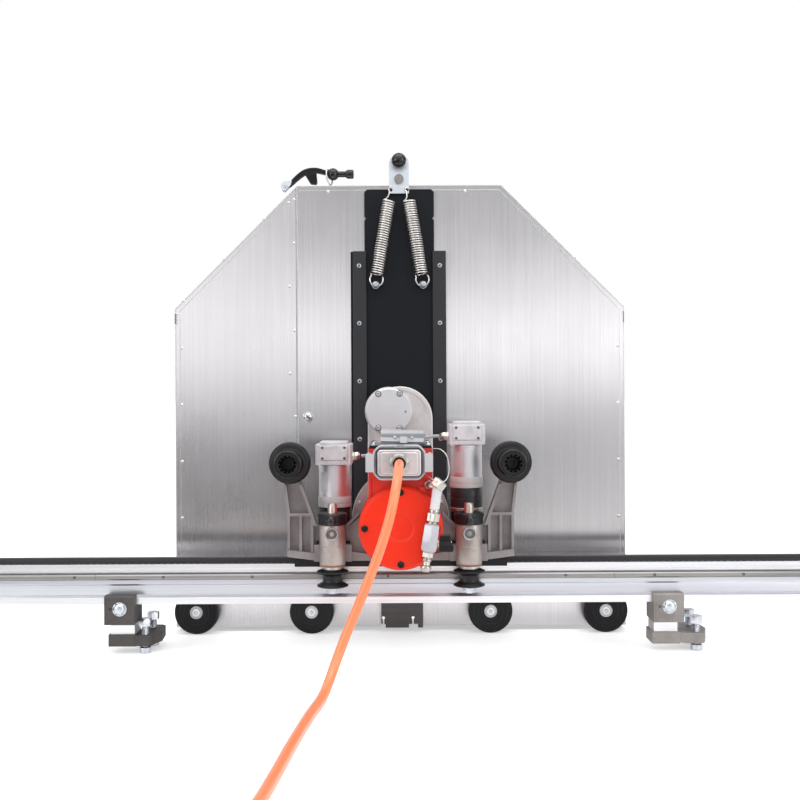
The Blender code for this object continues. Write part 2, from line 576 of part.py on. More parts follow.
def build_guard_front():
    """Front sheet in two sections with the spindle slot, and the plough block under the slot."""
    back = GUARD_FRONT + SHEET
    full = guard_outline(0.0)
    main = prism("guard_front", [(SEAM_X, GUARD_BOTTOM), full[1], full[2], full[3], (SEAM_X, GUARD_TOP)], "Y",
                 GUARD_FRONT, back)
    cut(main, box("slot", (-SLOT_HALF, 90.0, SLOT_BOTTOM), (SLOT_HALF, 130.0, SLOT_TOP)))
    join(main, box("block", (-42.0, 100.0, GUARD_BOTTOM - 1.0), (46.0, GUARD_FRONT + 1.0, 60.0)))
    for x, notch in ((-37.4, (-44.0, -33.0)), (25.0, (16.5, 35.5))):
        key = rod("key", "Y", (x, 0.0, 28.0), 3.8, 90.0, 130.0, 16)
        join(key, box("stem", (x - 1.7, 90.0, 14.0), (x + 1.7, 130.0, 28.0)))
        join(key, box("notch", (notch[0], 90.0, 0.0), (notch[1], 130.0, 15.8)))
        cut(main, key)
    finish(main, "stainless")
    seam = SEAM_X - GAP
    left = prism("guard_front_left", [full[0], (seam, GUARD_BOTTOM), (seam, GUARD_TOP - GAP), full[5]], "Y",
                 GUARD_FRONT, back)
    finish(left, "stainless")


def build_slider():
    """Slider plate that hangs on the blade axis, and the two guide bars it runs behind."""
    low = BLADE_Z - 51.0
    notch = [(SLIDER_HALF, 868.0), (SLIDER_HALF - 4.0, 872.0), (SLIDER_HALF, 876.0)]
    right = [(SLIDER_HALF, low)] + notch + [(SLIDER_HALF, SLIDER_TOP - 6.0), (SLIDER_HALF - 6.0, SLIDER_TOP)]
    left = [(-x, z) for x, z in reversed(right)]
    plate = prism("slider_plate", right + left, "Y", 105.0, 110.5)
    cut(plate, rod("spindle_hole", "Y", (0.0, 0.0, BLADE_Z), 24.5, 90.0, 130.0))
    for side in (-1.0, 1.0):
        pin = [(0.0, 84.0), (6.5, 84.0), (6.5, 88.0), (3.5, 88.0), (3.5, 106.0), (0.0, 106.0)]
        join(plate, turned("pin", pin, "Y", (side * SPRING_LOW[0], 0.0, SPRING_LOW[1]), 12))
    finish(plate, "black_steel", (0.0, 105.0, BLADE_Z))
    for name, side in (("guide_bar_left", -1.0), ("guide_bar_right", 1.0)):
        section = [(70.0, 98.0), (98.0, 98.0), (98.0, GUARD_FRONT - GAP), (74.0, GUARD_FRONT - GAP), (74.0, 104.7),
                   (70.0, 104.7)]
        finish(prism(name, [(side * x, y) for x, y in section], "Z", 255.0, 802.0), "black_steel")


def build_spring_bracket():
    """Zinc bracket on top of the guard that the springs hang from, with its lock plunger."""
    outline = [(21.0, BRACKET_LOW), (21.0, BRACKET_TOP)] + arc(0.0, BRACKET_TOP, 21.0, 0.0, 180.0, 12)[1:]
    outline.append((-21.0, BRACKET_LOW))
    bracket = prism("spring_bracket", outline, "Y", 98.0, 102.0)
    join(bracket, box("foot", (-21.0, 101.0, GUARD_TOP + GAP), (21.0, 150.0, GUARD_TOP + 6.0)))
    join(bracket, rod("pin", "Y", (0.0, 0.0, 953.0), 9.5, 92.0, 99.0, 20))
    cut(bracket, rod("plunger_hole", "Y", (0.0, 0.0, PLUNGER_Z), 5.4, 80.0, 120.0, 16))
    for side in (-1.0, 1.0):
        cut(bracket, rod("hook_hole", "Y", (side * SPRING_TOP[0], 0.0, SPRING_TOP[1]), 3.5, 80.0, 120.0, 12))
    finish(bracket, "zinc")
    knob = [(0.0, 72.0), (7.0, 73.0), (13.0, 77.0), (15.0, 83.0), (15.0, 90.0), (12.0, 95.0), (5.0, 96.5), (5.0, 118.0),
            (0.0, 118.0)]
    finish(turned("lock_plunger", knob, "Y", (0.0, 0.0, PLUNGER_Z), 20), "black_rubber", (0.0, 96.5, PLUNGER_Z))


def tube_along(name, points, radius, sides):
    """A round wire along points, as a curve turned into a closed mesh."""
    curve = bpy.data.curves.new(name, "CURVE")
    curve.dimensions = "3D"
    curve.bevel_depth = radius * MM
    curve.bevel_resolution = sides
    curve.use_fill_caps = True
    line = curve.splines.new("POLY")
    line.points.add(len(points) - 1)
    for spot, point in zip(line.points, points):
        spot.co = (*(Vector(point) * MM), 1.0)
    made = bpy.data.objects.new(name, curve)
    bpy.context.collection.objects.link(made)
    return made


def build_spring(name, side):
    """Extension spring from the slider's pin to the bracket's hole, leaning outwards at its foot."""
    turns, per_turn, radius = 13, 7, 12.6
    low = Vector((side * SPRING_LOW[0], 90.0, SPRING_LOW[1]))
    high = Vector((side * SPRING_TOP[0], 90.0, SPRING_TOP[1]))
    line = (high - low).normalized()
    across = line.cross(Vector((0.0, 1.0, 0.0))).normalized()
    front = across.cross(line)
    points = [low + line * 6.0, low + line * 14.0]
    start, length = low + line * 20.0, (high - low).length - 46.0
    for i in range(turns * per_turn + 1):
        angle = 2.0 * pi * i / per_turn
        points.append(start + line * (length * i / (turns * per_turn))
                      + (across * cos(angle) + front * sin(angle)) * radius)
    points += [high - line * 16.0, high - line * 4.0, high + Vector((0.0, 5.5, 0.0))]
    made = tube_along(name, points, 1.7, 0)
    made.data.materials.append(material("steel"))


def build_wheels():
    """Four rubber wheels on the front of the guard."""
    for index, x in enumerate(WHEEL_X):
        profile = [(0.0, GUARD_FRONT - GAP), (12.0, GUARD_FRONT - GAP), (12.0, 108.0), (42.0, 108.0),
                   (WHEEL_RADIUS, 104.0), (WHEEL_RADIUS, 84.0), (42.0, 80.0), (15.0, 80.0), (13.0, 77.0), (0.0, 77.0)]
        finish(turned("guard_wheel_%d" % (index + 1), profile, "Y", (x, 0.0, WHEEL_RADIUS), 28), "black_rubber",
               (x, 95.0, WHEEL_RADIUS))


def build_latch():
    """Over-centre latch lever lying on top of the guard's left shoulder."""
    outline = [(-249.0, 950.0), (-239.0, 946.0), (-232.0, 957.0), (-206.0, 968.0), (-206.0, 950.0), (-184.0, 950.0),
               (-184.0, 976.0), (-150.0, 974.0), (-150.0, 988.0), (-188.0, 993.0), (-212.0, 989.0), (-242.0, 972.0)]
    lever = prism("latch_lever", outline, "Y", 158.0, 174.0)
    grip = [(0.0, -155.0), (9.0, -154.0), (14.0, -148.0), (14.0, -142.0), (9.0, -136.0), (5.5, -134.0),
            (5.5, -112.0), (9.0, -110.0), (9.0, -103.0), (0.0, -102.0)]
    join(lever, turned("grip", grip, "X", (0.0, 166.0, 981.0), 16))
    finish(lever, "black_rubber", (-240.0, 166.0, 956.0))


# ---------------------------------------------------------------- cable

ROUTE = [(-2.0, -222.8, 376.0), (-2.2, -246.0, 375.8), (-2.8, -268.0, 372.4), (-4.2, -292.0, 362.8),
         (-7.0, -314.0, 345.5), (-11.6, -329.0, 321.0), (-19.0, -337.0, 290.0), (-34.5, -341.0, 240.0),
         (-56.0, -340.0, 184.0), (-79.0, -338.0, 128.0), (-96.0, -341.0, 88.0), (-109.0, -353.0, 55.0),
         (-119.0, -376.0, 29.0), (-127.0, -410.0, 13.0), (-133.5, -450.0, 8.9), (-143.0, -520.0, 8.9),
         (-155.0, -640.0, 8.9), (-165.0, -760.0, 8.9), (-175.0, -860.0, 8.9), (-187.0, -935.0, 8.9),
         (-204.0, -1005.0, 8.9)]


def smooth_route(points, spacing):
    """Read points at an even spacing from a Catmull-Rom curve through the route's own points."""
    ends = [Vector(points[0]) * 2.0 - Vector(points[1])] + [Vector(p) for p in points]
    ends.append(Vector(points[-1]) * 2.0 - Vector(points[-2]))
    fine = []
    for a, b, c, d in zip(ends, ends[1:], ends[2:], ends[3:]):
        for i in range(24):
            t = i / 24.0
            fine.append(0.5 * (2.0 * b + (c - a) * t + (2.0 * a - 5.0 * b + 4.0 * c - d) * t * t
                               + (3.0 * b - a - 3.0 * c + d) * t * t * t))
    fine.append(Vector(points[-1]))
    length = sum((q - p).length for p, q in zip(fine, fine[1:]))
    count = round(length / spacing)
    kept, walked, target = [fine[0]], 0.0, length / count
    for p, q in zip(fine, fine[1:]):
        walked += (q - p).length
        if walked >= target * len(kept) and len(kept) < count:
            kept.append(q)
    kept.append(fine[-1])
    return kept


def build_cable():
    """The power cable's loose run, the outer shape of its coil and the plug on its far end."""
    run = tube_along("power_cable", smooth_route(ROUTE, 2.2 * 2.0 * CABLE_RADIUS), CABLE_RADIUS, 3)
    run.data.materials.append(material("cable_orange"))
    cx, cy = COIL_CENTRE
    high = 2.0 * COIL_PITCH + GAP
    ring = [(COIL_INNER, GAP), (COIL_OUTER, GAP), (COIL_OUTER, high), (COIL_INNER, high)]
    finish(turned("cable_coil", ring, "Z", (cx, cy, 0.0), 32), "cable_orange")
    body = [(0.0, 84.0), (12.0, 84.0), (14.0, 104.0), (24.0, 112.0), (26.0, 150.0), (30.0, 152.0),
            (30.0, 166.0), (27.0, 168.0), (27.0, 196.0), (22.0, 196.0), (22.0, 180.0), (0.0, 180.0)]
    plug = turned("cable_connector", body, "X", (cx, cy - COIL_LAST_RADIUS, 30.3), 20)
    finish(plug, "black_rubber")


def main():
    """Build every part in its place."""
    for old in list(bpy.data.objects):
        bpy.data.objects.remove(old)
    build_rail()
    build_foot("left", -540.0, -502.0)
    build_foot("right", 513.0, 571.0)
    build_carriage_frame()
    for side, sign in (("left", -1.0), ("right", 1.0)):
        build_post(side, sign * POST_X)
        build_knob(side, sign * KNOB_X)
    build_gearmotor("left", -POST_X, 280.0, 364.0)
    build_gearmotor("right", POST_X, 317.0, 402.0)
    build_pinion()
    build_motor()
    build_connector()
    build_water_line()
    build_arm()
    build_guard_shell()
    build_guard_front()
    build_slider()
    build_spring_bracket()
    build_spring("spring_left", -1.0)
    build_spring("spring_right", 1.0)
    build_wheels()
    build_latch()
    build_cable()


main()
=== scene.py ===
"""Looks of the rail-guided concrete saw: fine shapes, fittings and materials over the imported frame.

Sizes are in millimetres and are turned into metres by MM; places come from the frame's own boxes.
"""

import json
from math import atan2, cos, exp, pi, radians, sin

import bmesh
import bpy
from mathutils import Matrix, Vector
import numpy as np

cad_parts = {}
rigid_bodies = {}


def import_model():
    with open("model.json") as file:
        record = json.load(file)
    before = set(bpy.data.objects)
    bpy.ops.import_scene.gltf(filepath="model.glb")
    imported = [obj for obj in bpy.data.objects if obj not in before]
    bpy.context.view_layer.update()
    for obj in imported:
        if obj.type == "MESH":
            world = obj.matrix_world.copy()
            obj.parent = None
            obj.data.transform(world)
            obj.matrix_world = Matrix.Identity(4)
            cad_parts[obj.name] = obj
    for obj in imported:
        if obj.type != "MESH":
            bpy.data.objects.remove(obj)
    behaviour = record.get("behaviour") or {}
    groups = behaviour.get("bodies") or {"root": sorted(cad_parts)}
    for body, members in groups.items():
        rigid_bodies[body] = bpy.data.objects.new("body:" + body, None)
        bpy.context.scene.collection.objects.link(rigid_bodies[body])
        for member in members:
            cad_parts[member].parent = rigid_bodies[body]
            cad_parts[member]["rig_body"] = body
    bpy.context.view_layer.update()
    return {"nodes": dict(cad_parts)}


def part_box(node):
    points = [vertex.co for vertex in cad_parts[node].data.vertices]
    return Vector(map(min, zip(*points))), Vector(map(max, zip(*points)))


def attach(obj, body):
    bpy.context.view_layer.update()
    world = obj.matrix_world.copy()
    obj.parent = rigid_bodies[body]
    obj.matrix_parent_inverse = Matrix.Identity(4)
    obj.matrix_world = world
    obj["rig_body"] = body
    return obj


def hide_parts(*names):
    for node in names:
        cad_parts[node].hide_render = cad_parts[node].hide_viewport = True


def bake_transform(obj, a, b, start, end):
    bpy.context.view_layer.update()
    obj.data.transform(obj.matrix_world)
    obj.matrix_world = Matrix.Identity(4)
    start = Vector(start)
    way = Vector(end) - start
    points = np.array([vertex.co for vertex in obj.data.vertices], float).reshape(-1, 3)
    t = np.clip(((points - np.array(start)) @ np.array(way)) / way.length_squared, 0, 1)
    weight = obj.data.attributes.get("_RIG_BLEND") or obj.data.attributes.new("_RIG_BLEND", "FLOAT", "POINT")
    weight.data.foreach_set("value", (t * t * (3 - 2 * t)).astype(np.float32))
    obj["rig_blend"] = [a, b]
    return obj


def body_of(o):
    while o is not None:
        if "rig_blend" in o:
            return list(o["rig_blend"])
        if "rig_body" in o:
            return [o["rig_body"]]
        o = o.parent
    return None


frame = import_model()
NODES = frame["nodes"]
MM = 0.001
ORIGIN = (0.0, 0.0, 0.0)

# cable
CABLE_RADIUS = 8.5
COIL_CENTRE = (-45.0, -1087.0)
COIL_PITCH = 17.4
COIL_LAST_RADIUS = 154.8
COIL_LAYERS = (8.9, 26.6)
ROUTE = [(-2.0, -222.8, 376.0), (-2.2, -246.0, 375.8), (-2.8, -268.0, 372.4), (-4.2, -292.0, 362.8),
    (-7.0, -314.0, 345.5), (-11.6, -329.0, 321.0), (-19.0, -337.0, 290.0), (-34.5, -341.0, 240.0),
    (-56.0, -340.0, 184.0), (-79.0, -338.0, 128.0), (-96.0, -341.0, 88.0), (-109.0, -353.0, 55.0),
    (-119.0, -376.0, 29.0), (-127.0, -410.0, 13.0), (-133.5, -450.0, 8.9), (-143.0, -520.0, 8.9),
    (-155.0, -640.0, 8.9), (-165.0, -760.0, 8.9), (-175.0, -860.0, 8.9), (-187.0, -935.0, 8.9),
    (-204.0, -1005.0, 8.9)]


def mm_box(node):
    """A node's lowest and highest corners in millimetres."""
    low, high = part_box(node)
    return low / MM, high / MM


def middle(node):
    """The middle of a node's box in millimetres."""
    low, high = mm_box(node)
    return (low + high) / 2.0


# ---------------------------------------------------------------- node helpers for materials

class Shade:
    """A Principled material under construction, with short calls for the nodes used here."""

    def __init__(self, name, colour, roughness, metallic=0.0):
        self.material = bpy.data.materials.new(name)
        self.material.use_nodes = True
        self.nodes = self.material.node_tree.nodes
        self.links = self.material.node_tree.links
        self.shader = self.nodes["Principled BSDF"]
        self.place = self.nodes.new("ShaderNodeTexCoord").outputs["Object"]
        self.height = None
        self.set("Base Color", (*colour, 1.0))
        self.set("Roughness", roughness)
        self.set("Metallic", metallic)
        self.material.diffuse_color = (*colour, 1.0)

    def set(self, name, value):
        """Set a shader input to a value, or link it to a socket."""
        if isinstance(value, bpy.types.NodeSocket):
            self.links.new(value, self.shader.inputs[name])
        else:
            self.shader.inputs[name].default_value = value
        return self

    def dull(self, level):
        """Weaken the clear reflection and hand the material over."""
        self.set("Specular IOR Level", level)
        return self.material

    def stretch(self, scale):
        """Object coordinates scaled by axis, in repeats per metre."""
        node = self.nodes.new("ShaderNodeMapping")
        node.inputs["Scale"].default_value = scale
        self.links.new(self.place, node.inputs["Vector"])
        return node.outputs["Vector"]

    def noise(self, scale, detail=3.0, roughness=0.55, distortion=0.0):
        """Noise over stretched coordinates."""
        node = self.nodes.new("ShaderNodeTexNoise")
        node.inputs["Scale"].default_value = 1.0
        node.inputs["Detail"].default_value = detail
        node.inputs["Roughness"].default_value = roughness
        node.inputs["Distortion"].default_value = distortion
        self.links.new(self.stretch(scale), node.inputs["Vector"])
        return node.outputs["Fac"]

    def wave(self, scale, direction="X", distortion=0.0, detail=0.0):
        """Sine bands across one axis, in repeats per metre."""
        node = self.nodes.new("ShaderNodeTexWave")
        node.bands_direction = direction
        node.inputs["Scale"].default_value = 0.314159
        node.inputs["Distortion"].default_value = distortion
        node.inputs["Detail"].default_value = detail
        self.links.new(self.stretch((scale, scale, scale)), node.inputs["Vector"])
        return node.outputs["Fac"]

    def math(self, operation, first, second=0.0):
        """A maths node on sockets or numbers."""
        node = self.nodes.new("ShaderNodeMath")
        node.operation = operation
        for socket, value in zip(node.inputs, (first, second)):
            if isinstance(value, bpy.types.NodeSocket):
                self.links.new(value, socket)
            else:
                socket.default_value = value
        return node.outputs[0]

    def ramp(self, factor, stops, smooth=False):
        """Colours or greys along a factor."""
        node = self.nodes.new("ShaderNodeValToRGB")
        node.color_ramp.interpolation = "EASE" if smooth else "LINEAR"
        while len(node.color_ramp.elements) < len(stops):
            node.color_ramp.elements.new(0.5)
        for element, (place, colour) in zip(node.color_ramp.elements, stops):
            element.position = place
            grey = isinstance(colour, float)
            element.color = (colour, colour, colour, 1.0) if grey else (*colour, 1.0)
        self.links.new(factor, node.inputs["Fac"])
        return node.outputs["Color"]

    def mix(self, factor, first, second, blend="MIX"):
        """Mix two colours or colour sockets."""
        node = self.nodes.new("ShaderNodeMix")
        node.data_type = "RGBA"
        node.blend_type = blend
        for socket, value in ((node.inputs[0], factor), (node.inputs[6], first), (node.inputs[7], second)):
            if isinstance(value, bpy.types.NodeSocket):
                self.links.new(value, socket)
            elif isinstance(value, tuple):
                socket.default_value = (*value, 1.0)
            else:
                socket.default_value = value
        return node.outputs[2]

    def worn(self, radius=0.0015):
        """1 on outer edges, 0 on flats, from the difference a rounded normal makes."""
        bevel = self.nodes.new("ShaderNodeBevel")
        bevel.samples = 4
        bevel.inputs["Radius"].default_value = radius
        plain = self.nodes.new("ShaderNodeNewGeometry")
        dot = self.nodes.new("ShaderNodeVectorMath")
        dot.operation = "DOT_PRODUCT"
        self.links.new(bevel.outputs[0], dot.inputs[0])
        self.links.new(plain.outputs["Normal"], dot.inputs[1])
        return self.ramp(self.math("SUBTRACT", 1.0, dot.outputs["Value"]), [(0.02, 0.0), (0.16, 1.0)])

    def bump(self, height, strength, distance):
        """Add a layer of relief."""
        node = self.nodes.new("ShaderNodeBump")
        node.inputs["Strength"].default_value = strength
        node.inputs["Distance"].default_value = distance * MM
        self.links.new(height, node.inputs["Height"])
        if self.height is not None:
            self.links.new(self.height, node.inputs["Normal"])
        self.height = node.outputs["Normal"]
        self.links.new(self.height, self.shader.inputs["Normal"])
        return self


def brushed(name, colour, roughness, along, dirt=0.10, lines=0.5):
    """Metal with fine lines along one axis and cloudy smears."""
    shade = Shade(name, colour, roughness, 1.0)
    fine = [1600.0, 1600.0, 1600.0]
    fine["XYZ".index(along)] = 14.0
    coarse = [260.0, 260.0, 260.0]
    coarse["XYZ".index(along)] = 3.0
    hair = shade.noise(tuple(fine), 2.0)
    band = shade.noise(tuple(coarse), 3.0)
    cloud = shade.noise((5.0, 5.0, 5.0), 5.0, 0.6)
    dark = tuple(c * (1.0 - dirt) for c in colour)
    light = tuple(min(1.0, c * (1.0 + dirt)) for c in colour)
    tone = shade.ramp(band, [(0.25, dark), (0.75, light)])
    smear = shade.ramp(cloud, [(0.3, 1.0 - dirt * 0.8), (0.7, 1.0)])
    shade.set("Base Color", shade.mix(1.0, tone, smear, "MULTIPLY"))
    spread = shade.ramp(cloud, [(0.3, roughness * 1.25), (0.75, roughness * 0.85)])
    shade.set("Roughness", shade.mix(0.12, spread, hair))
    shade.bump(hair, 0.12 * lines, 0.05)
    shade.bump(band, 0.10 * lines, 0.08)
    return shade


def cast(name, colour, roughness, metallic, grain=420.0, relief=0.25, stain=(0.30, 0.24, 0.20)):
    """Raw casting: sandy grain, soft blotches and rubbed edges."""
    shade = Shade(name, colour, roughness, metallic)
    blotch = shade.noise((22.0, 22.0, 16.0), 6.0, 0.65)
    sand = shade.noise((grain, grain, grain), 4.0, 0.7)
    base = shade.ramp(blotch, [(0.30, tuple(c * 0.72 for c in colour)), (0.5, colour),
        (0.75, tuple(min(1.0, c * 1.22) for c in colour))])
    stained = shade.ramp(shade.noise((60.0, 60.0, 30.0), 5.0, 0.7), [(0.60, 0.0), (0.74, 0.45)])
    tinted = shade.mix(stained, base, stain)
    shade.set("Base Color", shade.mix(shade.math("MULTIPLY", shade.worn(0.0012), 0.5), tinted,
        tuple(min(1.0, c * 1.7) for c in colour)))
    shade.set("Roughness", shade.ramp(sand, [(0.3, roughness * 0.85), (0.7, min(1.0, roughness * 1.15))]))
    shade.bump(sand, relief, 0.25)
    shade.bump(blotch, 0.15, 0.6)
    return shade


def painted(name, colour, roughness, chip, metallic=0.0):
    """Powder coat: fine orange peel, faint dust and rubbed edges."""
    shade = Shade(name, colour, roughness, metallic)
    peel = shade.noise((520.0, 520.0, 520.0), 2.0)
    cloud = shade.noise((14.0, 14.0, 14.0), 5.0, 0.6)
    base = shade.ramp(cloud, [(0.3, tuple(c * 0.90 for c in colour)), (0.7, colour)])
    edge = shade.math("MULTIPLY", shade.worn(0.001), 0.55)
    shade.set("Base Color", shade.mix(edge, base, chip))
    shade.set("Roughness", shade.ramp(cloud, [(0.3, roughness * 1.2), (0.7, roughness * 0.9)]))
    shade.bump(peel, 0.08, 0.10)
    return shade


def moulded(name, colour, roughness, grain=900.0, dust=0.35):
    """Rubber or plastic: fine grain, dust in the low places and paler edges."""
    shade = Shade(name, colour, roughness)
    speck = shade.noise((grain, grain, grain), 3.0, 0.7)
    cloud = shade.noise((30.0, 30.0, 30.0), 5.0, 0.7)
    pale = tuple(min(1.0, c + 0.09) for c in colour)
    veil = shade.math("MULTIPLY", shade.ramp(cloud, [(0.42, 0.0), (0.8, 1.0)]), dust)
    base = shade.mix(veil, colour, pale)
    shade.set("Base Color", shade.mix(shade.math("MULTIPLY", shade.worn(0.001), 0.35), base, pale))
    shade.set("Roughness", shade.ramp(cloud, [(0.3, roughness * 0.9), (0.7, min(1.0, roughness * 1.15))]))
    shade.bump(speck, 0.15, 0.10)
    return shade


def plated(name, colour, roughness):
    """Bright plating: mirror-like with faint pits and a cloudy bloom."""
    shade = Shade(name, colour, roughness, 1.0)
    cloud = shade.noise((70.0, 70.0, 70.0), 4.0, 0.6)
    shade.set("Base Color", shade.ramp(cloud, [(0.35, tuple(c * 0.82 for c in colour)), (0.7, colour)]))
    shade.set("Roughness", shade.ramp(cloud, [(0.3, roughness * 1.6), (0.7, roughness)]))
    shade.bump(shade.noise((700.0, 700.0, 700.0), 2.0), 0.05, 0.05)
    return shade


def stainless_sheet(name, roughness):
    """Brushed guard sheet: fine upright lines, wide soft bands of light and wiping marks."""
    shade = brushed(name, (0.72, 0.705, 0.715), roughness, "Z", 0.05, 0.5)
    shade.set("Anisotropic", 0.85)
    level = shade.nodes.new("ShaderNodeCombineXYZ")
    level.inputs["X"].default_value = 1.0
    shade.set("Tangent", level.outputs[0])
    wipe = shade.noise((3.0, 3.0, 26.0), 5.0, 0.6, 0.6)
    scratch = shade.noise((900.0, 900.0, 20.0), 1.0, 0.5, 1.5)
    marks = shade.ramp(scratch, [(0.70, 0.0), (0.78, 1.0)])
    shade.bump(wipe, 0.05, 0.4)
    shade.bump(marks, 0.05, 0.1)
    return shade.material


def hatched_plate():
    """Black guide bar with fine slanting tool marks."""
    shade = painted("guide_bar_black", (0.028, 0.029, 0.033), 0.42, (0.16, 0.16, 0.17), 0.3)
    slanted = shade.nodes.new("ShaderNodeMapping")
    slanted.inputs["Rotation"].default_value = (0.0, radians(45.0), 0.0)
    shade.links.new(shade.place, slanted.inputs["Vector"])
    wave = shade.nodes.new("ShaderNodeTexWave")
    wave.inputs["Scale"].default_value = 95.0
    wave.inputs["Distortion"].default_value = 0.6
    shade.links.new(slanted.outputs["Vector"], wave.inputs["Vector"])
    shade.bump(wave.outputs["Fac"], 0.35, 0.15)
    return shade.material


def turned_face(name, colour, roughness):
    """Faced metal with fine rings about its own axis."""
    shade = brushed(name, colour, roughness, "X", 0.03, 0.15)
    rings = shade.nodes.new("ShaderNodeTexWave")
    rings.wave_type = "RINGS"
    rings.rings_direction = "Y"
    rings.inputs["Scale"].default_value = 260.0
    shade.links.new(shade.place, rings.inputs["Vector"])
    shade.bump(rings.outputs["Fac"], 0.12, 0.1)
    return shade


def woven_hose():
    """White braided hose: two crossing spirals of flat strands."""
    shade = Shade("braided_hose", (0.74, 0.74, 0.76), 0.5)
    one = shade.wave(420.0, "DIAGONAL")
    turn = shade.nodes.new("ShaderNodeMapping")
    turn.inputs["Scale"].default_value = (-420.0, 420.0, 420.0)
    shade.links.new(shade.place, turn.inputs["Vector"])
    other = shade.nodes.new("ShaderNodeTexWave")
    other.bands_direction = "DIAGONAL"
    other.inputs["Scale"].default_value = 0.314159
    shade.links.new(turn.outputs["Vector"], other.inputs["Vector"])
    weave = shade.math("MAXIMUM", one, other.outputs["Fac"])
    shade.set("Base Color", shade.ramp(weave, [(0.45, (0.36, 0.36, 0.40)), (0.8, (0.82, 0.82, 0.84))]))
    shade.bump(weave, 0.5, 0.5)
    return shade.material


def cable_jacket():
    """Orange polyurethane jacket: satin, faint scuffs along its length."""
    shade = moulded("cable_jacket", (0.92, 0.235, 0.085), 0.34, 500.0, 0.15)
    shade.set("Coat Weight", 0.6)
    shade.set("Coat Roughness", 0.12)
    shade.set("Subsurface Weight", 0.12)
    shade.set("Subsurface Scale", 0.004)
    return shade.material


